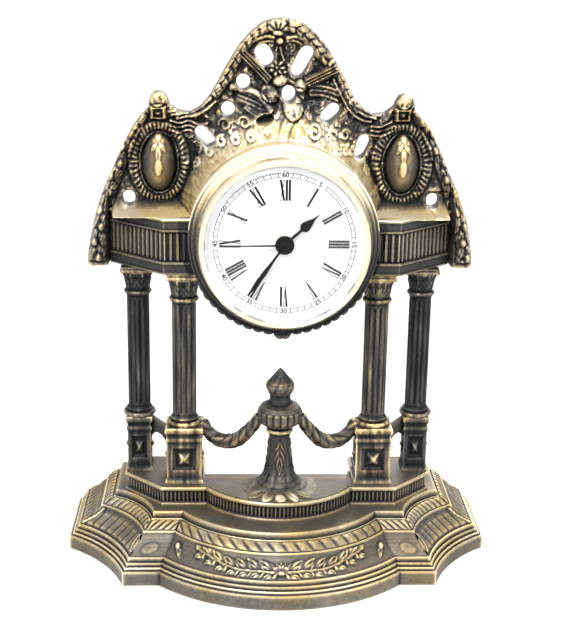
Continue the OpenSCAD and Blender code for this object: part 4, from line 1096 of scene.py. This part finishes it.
def medallion(relief, x, z):
    """Oval with a ring of radial gadroons, a beaded rim and a domed middle with a leaf."""
    w = relief.window(x, z, 19)
    u, v = relief.X[w] - x, relief.Z[w] - z
    outer, inner = np.hypot(u / 13.6, v / 17.9), np.hypot(u / 8.4, v / (13.3 - 0.02 * v))
    ribs = np.abs(np.cos(22 * np.arctan2(v / 15, u / 11)))
    t = np.clip((inner - 1.05) / np.maximum(inner - 1.05 + (1 - outer) * 1.5, 1e-6), 0, 1)
    band = (0.5 + 2.2 * np.sqrt(4 * t * (1 - t)) * (0.55 + 0.45 * ribs)) * (inner > 1.05)
    rims = np.maximum(1.7 * dome((inner - 1.0) / 0.06), 0.9 * dome((inner - 0.92) / 0.03))
    narrow = EGG_HALF * (1 - 0.22 * np.clip(v / 12.8, 0, 1) ** 2)
    middle = np.hypot(u / narrow, v / EGG_HALF_H)
    bulge = (0.9 + 6.6 * dome(middle)) * (middle < 1)
    old = relief.ground[w]
    relief.top[w] = np.where(outer < 1, 0, relief.top[w])
    relief.ground[w] = np.where(outer < 1, np.maximum.reduce([band, rims, bulge, old * (inner > 1.02)]), old)
    relief.smooth[w] = np.maximum(relief.smooth[w], middle < 1.02)
    for lean, length, width in PALMETTE:
        relief.stamp(x, z + 11.4, length + 1, leaf_stamp(length, width, 1.15, 2.0), lean)
    relief.stamp(x, z + 11.4, 2.5, oval(1.7, 2.1, 2.2))
    relief.stamp(x, z - 1.5, 5, oval(1.7, 3.8, 0.8))


def foliage(relief):
    """Loose leaves all over the ground between the larger forms; they spread outward from the dial."""
    for _ in range(LOOSE_LEAVES):
        turn, far = math.radians(rng.uniform(-64, 64)), rng.uniform(45, 84)
        lean = 90 - math.degrees(turn) + rng.normal(0, 48)
        length, width = rng.uniform(3.4, 6.4), rng.uniform(0.9, 1.5)
        shape = leaf_stamp(length, width, rng.uniform(0.7, 1.5), 2.0)
        relief.stamp(far * math.sin(turn), DIAL_Z + far * math.cos(turn), length + 1, shape, lean)


# mounds of the crest: x, z, half sizes, height and angle of the two doves' heads and bodies, and of a hollow
MOUNDS = (
    (-1.3, 207.8, 3.4, 2.4, 4.6, 20), (-5.6, 202.6, 4.6, 3.3, 3.8, -42), (7.5, 205.9, 2.9, 2.7, 5.2, -20),
    (6.6, 202.2, 2.9, 3.2, 3.4, 60), (4.3, 197.4, 4.4, 5.0, 5.6, 10), (-7.6, 192.6, 4.0, 1.9, -5.0, 12))
# lines of the crest: reach, shape and points, first of the doves, then of the ribbon and the garlands
LINES = [
    (0.9, tube(0.85, 2.6), [(5.2, 206.7), (3.7, 207.4), (2.4, 207.9)]),
    (0.8, tube(0.75, 2.2), [(1.6, 208.6), (2.9, 208.3)]),
    (2.3, strands(2.1, 2.0, 0.95), [(3.4, 194.4), (1.7, 191.4), (0.2, 188.0), (-0.9, 184.6)]),
    (2.0, tube(1.7, 3.6), [(-22.8, 205.0), (-17.4, 204.4), (-12.2, 203.0), (-8.9, 200.8), (-6.6, 197.9),
     (-4.6, 195.2)]),
    (3.3, strands(3.2, 2.0, 1.6), [(-5.0, 197.6), (-9.6, 198.2), (-14.6, 200.2), (-19.6, 201.8)]),
    (2.2, strands(2.1, 1.4, 1.4), [(-6.2, 194.8), (-9.6, 194.9), (-13.2, 196.2), (-16.0, 198.2)]),
    (2.3, strands(2.2, 3.2, 1.3), [(-5.4, 207.4), (-9.4, 211.6), (-12.8, 215.0), (-17.6, 219.6)]),
    (2.8, strands(2.7, 3.4, 1.25), [(9.8, 206.8), (14.2, 208.9), (18.4, 211.0), (23.4, 213.4)]),
    (1.3, tube(1.1, 2.3), [(-3.2, 225.6), (-8.0, 226.0), (-12.4, 224.2), (-15.4, 221.6)]),
    (0.9, tube(0.8, 1.7), [(-3.4, 224.2), (-7.4, 224.0), (-11.8, 221.8)]),
    (1.3, tube(1.1, 2.3), [(0.6, 225.4), (5.4, 226.2), (9.6, 224.2), (12.6, 221.0)]),
    (0.9, tube(0.8, 1.7), [(0.8, 224.0), (5.0, 224.4), (8.4, 222.4)]),
    (0.8, tube(0.75, 1.9), [(-1.4, 222.4), (-0.9, 219.6), (0.6, 215.6)]),
    (0.7, tube(0.65, 1.5), [(-2.4, 222.2), (-3.2, 219.0), (-2.6, 216.0)]),
    (3.1, garland(3.0, 3.3, 4.0), [(-6.6, 230.6), (-9.6, 229.4), (-12.9, 227.0), (-16.0, 223.4),
     (-18.4, 219.8), (-20.8, 215.8), (-22.8, 211.4), (-25.2, 207.8), (-27.8, 204.4), (-30.4, 201.2)]),
    (2.9, garland(2.8, 3.2, 3.8), [(1.6, 230.8), (5.6, 229.4), (9.0, 226.6), (12.4, 223.4), (15.7, 219.4),
     (18.8, 216.6), (21.4, 214.4)]),
    (2.6, garland(2.5, 2.6, 3.6), [(21.8, 214.0), (24.6, 209.4), (27.2, 203.8), (30.2, 198.6),
     (33.6, 194.8)]),
    (3.9, garland(3.8, 3.2, 6.8, 5.0), [(-57.6, 196.0), (-60.4, 193.4), (-64.0, 187.4), (-67.0, 180.5),
     (-69.7, 173.6), (-72.4, 166.6), (-75.1, 159.6), (-77.0, 152.6), (-78.2, 145.5), (-79.2, 138.4),
     (-79.6, 130.6)]),
    (3.9, garland(3.8, 3.2, 6.8, 5.0), [(57.0, 196.6), (60.0, 192.6), (63.2, 187.6), (66.2, 181.4),
     (69.2, 174.8), (72.2, 167.6), (74.8, 160.4), (76.8, 153.0), (78.8, 145.8), (80.0, 138.6),
     (80.2, 130.6)])]
# lines that repeat: reach, shape, points and the moves of the copies
DROPS = [(0, -1.9 * k) for k in range(3)]
FOLDS = ((0, 0), (-2.1, -1.4), (2.0, 1.1))
COPIES = [
    (1.1, tube(1.0, 1.8), [(11.0, 205.6), (16.0, 205.6), (20.4, 204.8), (24.4, 202.9)], [(0, 0),
     (0, -1.8), (0, -3.6)]),
    (0.9, tube(0.8, 1.7), [(-48.6, 190.6), (-44.0, 189.2), (-40.0, 190.2), (-35.6, 188.6),
     (-31.6, 189.6)], DROPS),
    (0.8, tube(0.7, 1.5), [(47.8, 191.2), (42.6, 188.6), (37.6, 188.8)], DROPS)]
FOLD_RIGHT = [(23.4, 210.6), (25.9, 205.6), (28.6, 200.4), (31.6, 196.2), (36.2, 193.0), (41.0, 192.0)]
FOLD_LEFT = [(-30.0, 200.6), (-33.6, 197.4), (-37.8, 194.6), (-42.6, 193.4), (-48.0, 192.6)]
# small forms of the crest, as x, z, reach and shape: the doves' eyes, shell, knot, flower, berries and buds
BERRY = oval(1.1, 1.1, 1.7)
BUD = oval(1.15, 1.15, 1.6)
SMALL = [
    (6.1, 206.2, 1.2, ringlet(0.62, 0.3, 0.55)), (-0.2, 208.2, 1.2, ringlet(0.6, 0.3, 0.5)),
    (-2.3, 227.6, 7, scallop), (-2.3, 227.4, 4, oval(2.6, 1.5, 2.6)),
    (-1.6, 224.2, 3, oval(1.9, 1.7, 3.2)), (-2.6, 213.0, 4.5, rosette(3.9, 2.4, 7)),
    (-6.0, 214.4, 2, BERRY), (-5.8, 211.4, 2, BERRY), (0.6, 211.4, 2, BERRY), (27.4, 182.6, 2, BUD),
    (24.8, 186.8, 2, BUD), (31.0, 183.2, 2, BUD), (-22.4, 187.6, 2, BUD), (-28.6, 182.2, 2, BUD)]
# curls on the rise above the drum: x, z, radius, start and hand
CURLS = (
    (-24.6, 190.0, 2.6, 200, -1), (-16.4, 191.2, 2.5, 200, -1), (-26.0, 183.9, 2.2, 60, 1),
    (-19.8, 185.4, 2.1, 60, 1), (-13.6, 186.8, 2.0, 60, 1), (13.0, 188.4, 3.0, 120, -1),
    (26.6, 186.6, 2.2, 0, 1), (29.8, 180.0, 2.0, 30, 1), (-31.2, 179.0, 2.1, 60, 1))
# leaves by the doves and on the rise: x, z, angle and length
DOVE_LEAVES = (
    (12.4, 201.6, 40), (11.2, 198.6, 10), (13.4, 196.6, -30), (15.4, 199.6, 15), (10.4, 195.4, -60))
RISE_LEAVES = (
    (15.2, 192.2, -32, 9.0), (17.8, 187.4, -40, 7.0), (22.0, 188.8, -38, 6.5), (24.0, 183.4, -48, 6.5),
    (20.6, 183.2, -42, 6.0), (32.6, 178.6, -58, 7.0), (35.6, 173.2, -66, 6.0), (-28.8, 187.6, 215, 6.5),
    (-33.4, 182.0, 232, 7.0), (-35.6, 175.4, 245, 6.0), (-20.6, 191.2, 10, 6.0), (-10.6, 189.8, -8, 6.5),
    (8.6, 190.4, -14, 5.5), (6.2, 186.6, -10, 5.0))
# painted light on the crest: x, z, reach and amount of the spots painted brighter as painted highlights, and
# of those made darker
SPOTS = (
    (4.3, 197.6, 4.6, 0.55), (7.4, 205.8, 2.6, 0.3), (-1.3, 207.6, 3.2, 0.4), (-12.0, 203.4, 3.0, 0.3),
    (-2.3, 230.0, 6.0, 0.35), (-53.0, 199.8, 2.6, 0.4), (52.0, 199.8, 2.6, 0.4), (-8.0, 194.5, 4.0, -0.5),
    (-12.0, 209.5, 3.6, -0.4), (13.0, 201.5, 4.0, -0.4), (-2.5, 218.5, 3.6, -0.4),
    (-26.0, 191.5, 4.0, -0.35), (22.0, 197.0, 3.6, -0.3))


def draw_crest(r):
    """All the crest's forms, as (x, z) in the front view."""
    side = np.abs(r.X)
    fillet = np.clip((r.Z - ENT_TOP) / 7.0, 0, 1)
    shelf = 21 * (1 - fillet) ** 3.6 * (r.Z > ENT_TOP - 0.5) * smoothstep(74, 71, side)
    tail = 9.5 * smoothstep(74.4, 75.3, side) * smoothstep(163, 149, r.Z)
    r.ground = np.maximum.reduce([r.ground, shoulder(r.X, r.Z), shelf, tail])
    foliage(r)
    for x in MEDALLION_X:
        medallion(r, x, MEDALLION_Z)
        r.mound(x - 0.2, FINIAL_Z, 3.5, 3.3, 3.6, power=0.8)
        r.stamp(x - 0.2, BLOCK_Z, 6, block)
        r.stamp(x - 0.2, CAP_Z, 5, oval(3.4, 0.8, 2.2))
    for mound in MOUNDS:
        r.mound(*mound)
    for reach, shape, points in LINES:
        r.along(points, reach, shape)
    for reach, shape, points, moves in COPIES:
        for move in moves:
            r.along(np.add(points, move), reach, shape)
    for k in range(4):
        r.along([(3.0 + 0.3 * k, 215.6 - 1.5 * k), (5.6 + 0.4 * k, 214.4 - 1.5 * k)], 0.5, tube(0.45, 1.3))
    for k, (dx, dz) in enumerate(FOLDS):
        for points, out in ((FOLD_RIGHT, dx), (FOLD_LEFT, -dx)):
            r.along(np.add(points, (out, dz)), 0.95, tube(0.85, 2.2 - 0.25 * k))
    for row in SMALL:
        r.stamp(*row)
    for row in CURLS:
        r.along(curl(*row), 0.85, tube(0.75, 1.7))
    for x, z, lean in DOVE_LEAVES:
        r.stamp(x, z, 4.5, leaf_stamp(4.0, 1.3, 1.6), lean)
    r.stamp(38.0, 194.9, 9, leaf_stamp(8.5, 1.7, 1.9, 5), 12)
    for x, z, lean, length in RISE_LEAVES:
        r.stamp(x, z, length + 0.5, leaf_stamp(length, 1.7, 1.5), lean)


def trace(after):
    """Closed loops of items, from a dictionary of which comes after which; it is used up."""
    loops = []
    while after:
        start, here = next(iter(after.items()))
        loop = [start]
        del after[start]
        while here != start and here in after:
            loop.append(here)
            here = after.pop(here)
        loops.append(loop)
    return loops


def flat_loops(node, y):
    """Outline loops, as (x, z), of a CAD node's faces that lie at a depth y."""
    obj = frame["nodes"][node]
    world = np.array(obj.matrix_world)
    co = points_of(obj.data) @ world[:3, :3].T + world[:3, 3] / MM
    first, same = welded(co, 200)
    edges = set()
    for poly in obj.data.polygons:
        ids = [int(same[i]) for i in poly.vertices]
        if all(abs(co[first[i], 1] - y) < 0.02 for i in ids):
            edges.update(zip(ids, ids[1:] + ids[:1]))
    loops = trace({a: b for a, b in edges if (b, a) not in edges})
    return [co[first[loop]][:, [0, 2]] for loop in loops]


def inside_distance(X, Z, loops, reach=6.0):
    """Distance to the nearest outline, positive inside, up to reach."""
    x, z = X[0], Z[:, 0]
    dist = np.full(X.shape, float(reach))
    inside = np.zeros(X.shape, bool)
    for loop in loops:
        for p, q in zip(loop, np.roll(loop, -1, axis=0)):
            lo, hi = np.minimum(p, q) - reach, np.maximum(p, q) + reach
            w = (slice(*np.searchsorted(z, (lo[1], hi[1]))), slice(*np.searchsorted(x, (lo[0], hi[0]))))
            e = q - p
            n = max(float(e @ e), 1e-12)
            t = np.clip(((X[w] - p[0]) * e[0] + (Z[w] - p[1]) * e[1]) / n, 0, 1)
            dist[w] = np.minimum(dist[w], np.hypot(X[w] - p[0] - t * e[0], Z[w] - p[1] - t * e[1]))
            if p[1] != q[1]:
                rows = np.flatnonzero((z >= min(p[1], q[1])) & (z < max(p[1], q[1])))
                cross = p[0] + (z[rows] - p[1]) / (q[1] - p[1]) * e[0]
                inside[rows] ^= x[None, :] < cross[:, None]
    return np.where(inside, dist, -dist)


def cut_grid(sd):
    """The part of a grid where sd > 0: inner quads, border faces, cuts of grid lines and border edges."""
    quads = cells(np.arange(sd.size).reshape(sd.shape))
    flat = sd.ravel()
    kept = (flat[quads] > 0).sum(1)
    cuts, where, tris, border = {}, [], [], []

    def cut(a, b):
        a, b = min(a, b), max(a, b)
        if (a, b) not in cuts:
            cuts[a, b] = sd.size + len(where)
            where.append((a, b, min(max(flat[a] / (flat[a] - flat[b]), 0.02), 0.98)))
        return cuts[a, b]

    for quad in quads[(kept > 0) & (kept < 4)].tolist():
        ring, leaving = [], []
        for a, b in zip(quad, quad[1:] + quad[:1]):
            if flat[a] > 0:
                ring.append(a)
            if (flat[a] > 0) != (flat[b] > 0):
                ring.append(cut(a, b))
                leaving.append((ring[-1], flat[a] > 0))
        tris += [(ring[0], ring[k], ring[k + 1]) for k in range(1, len(ring) - 1)]
        border += [(a, b) for (a, out), (b, _) in zip(leaving, leaving[1:] + leaving[:1]) if out]
    return quads[kept == 4], tris, np.array(where), border


def uneven(shape, turns):
    """Smooth random waves of unit strength; more turns make them longer."""
    f = rng.normal(size=shape)
    for _ in range(turns):
        f = (f + np.roll(f, 1, 0) + np.roll(f, -1, 0) + np.roll(f, 1, 1) + np.roll(f, -1, 1)) / 5
    return f / f.std()


def prism(shell, outline, y0, y1):
    """A flat print or plate from an outline round the dial's centre."""
    ring = np.asarray(outline, float)
    front = np.stack([ring[:, 0], np.full(len(ring), y0), DIAL_Z + ring[:, 1]], -1)
    back = front + [0, y1 - y0, 0]
    shell.grid(np.stack([front, back]), wrap=True)
    shell.cap(front)
    shell.cap(back)


RING_IN, RING_OUT = BORE_R + 0.5, DRUM_R + 0.1
SCREW_PLACE, RECESS_R, RECESS_DEPTH = 35.5, 3.1, 2.0
SCREW_ANGLES = (-38, 38, 142, 218)


def recess_side(angle, hand):
    """Side of a screw's recess across the ring, from the outside in; hand is 1 counterclockwise of it."""
    ends = [(r * r - SCREW_PLACE ** 2 - RECESS_R ** 2) / (2 * SCREW_PLACE * RECESS_R)
            for r in (RING_OUT, RING_IN)]
    phi = np.linspace(math.acos(ends[0]), math.acos(ends[1]), 14)
    out, side = SCREW_PLACE + RECESS_R * np.cos(phi), hand * RECESS_R * np.sin(phi)
    c, s = math.cos(math.radians(angle)), math.sin(math.radians(angle))
    return np.stack([out * c - side * s, out * s + side * c], -1)


def round_arc(p, q):
    """Points from p to q counterclockwise on a circle about the dial's centre, without its ends."""
    a, b = math.atan2(p[1], p[0]), math.atan2(q[1], q[0])
    t = np.linspace(a, b if b > a else b + TURN, 60)[1:-1]
    return math.hypot(*p) * np.stack([np.cos(t), np.sin(t)], -1)


def build_ring(shell):
    """The plate's ring behind the drum, open at the back where the four screws' heads are sunk."""
    front, floor = CREST_Y + 0.1, CREST_BACK - RECESS_DEPTH
    box = [(RING_IN, front), (RING_OUT, front), (RING_OUT, floor), (RING_IN, floor), (RING_IN, front)]
    shell.grid(about_dial(resample(box, 1.2), 256), wrap=True)
    for a, b in zip(SCREW_ANGLES, SCREW_ANGLES[1:] + SCREW_ANGLES[:1]):
        near, far = recess_side(a, 1), recess_side(b, -1)
        outline = np.vstack([near[:1], round_arc(near[0], far[0]), far, round_arc(near[-1], far[-1])[::-1],
                             near[::-1][:-1]])
        prism(shell, outline, floor - 0.1, CREST_BACK)


def crest_wear(v, wear_and_painted_light):
    """Painted highlights on the rise above the drum and on the shelves; even on the back and in the screws'
    recesses.
    """
    x, y, z = v.T
    r = np.hypot(x, z - DIAL_Z)
    # Painted highlights: the rise above the drum and the shelf, which face up to the light.
    rise = smoothstep(50, 42, r) * (y < 28) * (z > DIAL_Z)
    shelf = smoothstep(158, 153.5, z) * (z > ENT_TOP - 1) * (y < 30.5) * (np.abs(x) < 73)
    extra = np.maximum(rise, 1.1 * shelf) - np.where(y > CREST_Y, 0.08, 0.14 * (np.abs(x) > 38) * (z < 196))
    # Each egg: painted highlight down its middle and upper half, painted shade at its sides and foot.
    for mid in MEDALLION_X:
        u, w = x - mid, z - MEDALLION_Z
        extra += egg(u, w) * (y < 32) * (1.2 * np.exp(-(u / 4.2) ** 2) * smoothstep(-15, -3, w) - 0.42)
    # Spots painted brighter as painted highlights, and spots made darker.
    for px, pz, reach, much in SPOTS:
        extra += much * np.exp(-((x - px) ** 2 + (z - pz) ** 2) / reach ** 2) * (y < 31.5)
    sunk = (r < RING_OUT + 0.3) * (y > CREST_BACK - RECESS_DEPTH - 0.2)
    return np.where(sunk + (y > CREST_BACK - 0.01), -0.1, wear_and_painted_light + extra)


def build_crest(mat):
    relief = Relief(CREST_X, CREST_Z, GRID)
    X, Z = relief.X, relief.Z
    draw_crest(relief)
    outline = inside_distance(X, Z, flat_loops("crest_casting", CREST_BACK))
    from_drum = np.hypot(X, Z - DIAL_Z) - (DRUM_R + 0.15)
    joined = np.maximum(outline, np.minimum(from_drum, 0.0) - 1.0)
    sd = np.minimum(np.where(from_drum > -1.0, joined, outline), from_drum)
    rough = uneven(X.shape, 3) * 0.16 + uneven(X.shape, 40) * 0.55 * (Z > ENT_TOP + 8)
    edge = EDGE_R - np.clip(outline, 0, EDGE_R)
    height = (relief.ground + relief.top + rough * (1 - relief.smooth)
              - (EDGE_R - np.sqrt(np.clip(EDGE_R ** 2 - edge ** 2, 0, None))))
    quads, tris, where, border = cut_grid(sd)
    slope = np.stack(np.gradient(outline, GRID)[::-1], -1).reshape(-1, 2)
    flat = np.stack([X.ravel(), CREST_Y - height.ravel(), Z.ravel()], -1)
    a, b, t = where[:, 0].astype(int), where[:, 1].astype(int), where[:, 2:]
    rim = flat[a] * (1 - t) + flat[b] * t
    inward = slope[a] * (1 - t) + slope[b] * t
    free = (np.hypot(rim[:, 0], rim[:, 2] - DIAL_Z) > DRUM_R + 0.5)[:, None]
    rows = [rim * [1, 1 - k, 1] + [0, (CREST_BACK - CHAMFER) * k, 0] for k in np.linspace(0, 1, EDGE_ROWS)]
    last = rows[-1].copy()
    last[:, 1] = CREST_BACK
    last[:, [0, 2]] += 0.45 * inward * free
    rows.append(last)
    shell = Shell()
    n = len(rim)
    p, q = (np.array(border) - X.size).T
    walls = [np.stack([p, p + n, q + n, q], -1) + k * n for k in range(len(rows) - 1)]
    shell.add(np.vstack([flat, rim]), quads, tris)
    shell.add(np.vstack(rows), np.vstack(walls))
    shell.cap(*[last[np.array(loop) - X.size] for loop in trace(dict(border))])
    build_ring(shell)
    crest = shell.build("crest_ornament", mat, ["crest_casting"], sharp=50, rub=crest_wear)
    x, _, z = points_of(crest.data).T
    store(crest.data, "gilt", np.maximum.reduce([egg(x - mid, z - MEDALLION_Z) for mid in MEDALLION_X]))
    return crest


# dial print
PRINT_FRONT, PRINT_BACK = DIAL_FACE - 0.05, DIAL_FACE + 0.01
ROMAN = ["XII", "I", "II", "III", "IV", "V", "VI", "VII", "VIII", "IX", "X", "XI"]
NUM_IN, NUM_OUT = 17.8, 26.3
STROKE = {"I": 1.2, "V": 2.2, "X": 2.3}
THICK, THIN, SERIF, SERIF_W = 0.92, 0.3, 0.28, 1.12
TRACK_IN, TRACK_OUT, TRACK_LINE, TRACK_MARK = 27.3, 28.9, 0.12, 0.26
FIGURE_H, FIGURE_BOLD, FIGURE_THICK = 2.9, 0.06, 0.03


def dial_point(r, turn, across=0.0):
    """Place on the dial at a radius and a clockwise angle in degrees, moved sideways."""
    a = math.radians(turn)
    return np.array([r * math.sin(a) + across * math.cos(a), r * math.cos(a) - across * math.sin(a)])


def bar(shell, r0, r1, turn, x0, x1, width, top_width=None):
    """A straight stroke across a numeral, from (r0, x0) to (r1, x1)."""
    half, end = width / 2, (top_width or width) / 2
    corners = ((r0, x0 - half), (r0, x0 + half), (r1, x1 + end), (r1, x1 - end))
    prism(shell, [dial_point(r, turn, x) for r, x in corners], PRINT_FRONT, PRINT_BACK)


def numeral(shell, text, turn):
    """A Roman numeral whose foot points to the middle of the dial."""
    at = -sum(STROKE[c] for c in text) / 2
    for c in text:
        mid, lean = at + STROKE[c] / 2, STROKE[c] * 0.3
        ends = (mid - lean, mid + lean)
        if c == "I":
            ends = (mid,)
            bar(shell, NUM_IN, NUM_OUT, turn, mid, mid, THICK)
        elif c == "V":
            bar(shell, NUM_IN, NUM_OUT, turn, mid, ends[0], THIN, THICK)
            bar(shell, NUM_IN, NUM_OUT, turn, mid, ends[1], THIN)
        else:
            bar(shell, NUM_IN, NUM_OUT, turn, ends[1], ends[0], THICK)
            bar(shell, NUM_IN, NUM_OUT, turn, ends[0], ends[1], THIN)
        for x in ends:
            bar(shell, NUM_OUT - SERIF, NUM_OUT, turn, x, x, SERIF_W)
            if c != "V":
                bar(shell, NUM_IN, NUM_IN + SERIF, turn, x, x, SERIF_W)
        at += STROKE[c]


def add_figure(shell, k):
    """A minute figure, 60, 5 ... 55, on the track; the lower five are turned to be read from outside."""
    text = bpy.data.curves.new("figure", "FONT")
    text.body = str(5 * k if k else 60)
    text.size = FIGURE_H * MM
    text.offset = FIGURE_BOLD * MM
    text.align_x = "CENTER"
    text.align_y = "CENTER"
    text.extrude = FIGURE_THICK * MM
    text.resolution_u = 3
    obj = bpy.data.objects.new("figure", text)
    mesh = obj.to_mesh()
    v = points_of(mesh)
    tris = [(f.vertices[0], f.vertices[i], f.vertices[i + 1])
            for f in mesh.polygons for i in range(1, len(f.vertices) - 1)]
    obj.to_mesh_clear()
    bpy.data.objects.remove(obj)
    way = -1 if 4 <= k <= 8 else 1
    x, z = dial_point(way * v[:, 1] + (TRACK_IN + TRACK_OUT) / 2, 30 * k, way * v[:, 0])
    shell.add(np.stack([x, DIAL_FACE - FIGURE_THICK - v[:, 2], DIAL_Z + z], -1), tris=tris)


def build_print(ink):
    shell = Shell()
    for k, text in enumerate(ROMAN):
        numeral(shell, text, 30 * k)
    for k in range(60):
        if k % 5:
            bar(shell, TRACK_IN, TRACK_OUT, 6 * k, 0, 0, TRACK_MARK)
    for k in range(12):
        a = np.linspace(30 * k + 3.4, 30 * k + 26.6, 24)
        for r in (TRACK_IN, TRACK_OUT):
            inner = [dial_point(r - TRACK_LINE, t) for t in a]
            outer = [dial_point(r + TRACK_LINE, t) for t in a[::-1]]
            prism(shell, inner + outer, PRINT_FRONT, PRINT_BACK)
    for k in range(12):
        add_figure(shell, k)
    return shell.build("dial_print", ink, (), "insert", "hand_black")


def build_hub(ink):
    """Domed cap over the middle of the second hand."""
    y = BOX["second_hand"][0][1]
    prof = np.add([(0.0, -0.5), (0.7, -0.45), (1.2, -0.25), (1.45, 0.0), (1.45, 0.1), (0.0, 0.1)], (0, y))
    shell = Shell()
    shell.grid(about_dial(resample(prof, 0.15), 40), wrap=True)
    return shell.build("hand_hub", ink, (), "second_body", "hand_black")


# put together
add_camera()
bronze = patina("patina_bronze", 0.34, 0.60, 0.4, 0.3)
dark_bronze = patina("patina_bronze_dark", 0.22)
build_base(patina("patina_bronze_base", 0.52))
build_platform(patina("patina_bronze_platform", 0.38, warmth=0.3))
# The outer columns take a darker copy of the bronze: painted shade for the shadow they stand in.
column_bronze = {"inner": patina("patina_bronze_inner", 0.32, 0.5, 1.15, 0.7),
                 "outer": patina("patina_bronze_outer_painted_shade", 0.17, 0.5, 0.8)}
for place, mat in column_bronze.items():
    for side in (-1, 1):
        build_column(named(place + "_column", side), mat)
build_urn(bronze)
for side in (-1, 1):
    build_rail(side, dark_bronze)
    build_swag(side, bronze)
build_head(patina("patina_bronze_head", 0.34, 0.52))
build_crest(patina("patina_bronze_crest", 0.39, 0.42))

gold = plain("polished_gold", (0.93, 0.85, 0.64), 1.0, 0.25, vary=0.03)
brass = plain("brass", (0.70, 0.53, 0.24), 1.0, 0.35, scale=2000)
steel = plain("steel", (0.60, 0.60, 0.61), 1.0, 0.32, scale=2500)
black = plain("black_plastic", (0.018, 0.018, 0.018), 0.0, 0.45, 0.00003, 2500)
rubber = plain("black_rubber", (0.014, 0.014, 0.014), 0.0, 0.75, 0.00004, 1800)
white = plain("white_lacquer", (0.66, 0.665, 0.675), 0.0, 0.45, vary=0.01, shine=0.2)
ink = plain("black_lacquer", (0.004, 0.004, 0.005), 0.0, 0.4, vary=0.2, shine=0.12)
cream = plain("cream_plastic", (0.62, 0.60, 0.54), 0.0, 0.45, 0.00002, 2000)
green = plain("board_green", (0.02, 0.12, 0.05), 0.0, 0.35, scale=1500)
copper = plain("copper", (0.62, 0.26, 0.11), 1.0, 0.35, scale=3000)
grey = plain("grey_plastic", (0.05, 0.05, 0.055), 0.0, 0.42, 0.00003, 2500)
looks = [
    (steel, "steel can_silver iron_core"), (brass, "brass_hardware"), (black, "black_plastic"),
    (rubber, "black_rubber"), (gold, "gold_bezel"), (glass(), "clear_glass"), (ink, "hand_black"),
    (white, "white_plastic dial_white gear_plastic"), (cream, "movement_plastic plate_plastic"),
    (grey, "magnet_grey cover_grey"), (green, "board_green"), (copper, "copper_wire"),
    (dark_bronze, "bronze_cast")]
slot_mats = {slot: mat for mat, slots in looks for slot in slots.split()}
for sub in frame["record"]["subparts"]:
    set_material(sub["node"], slot_mats[sub["material_slot"]])
build_print(ink)
build_hub(ink)
studio()
bpy.context.scene.view_settings.view_transform = "Standard"
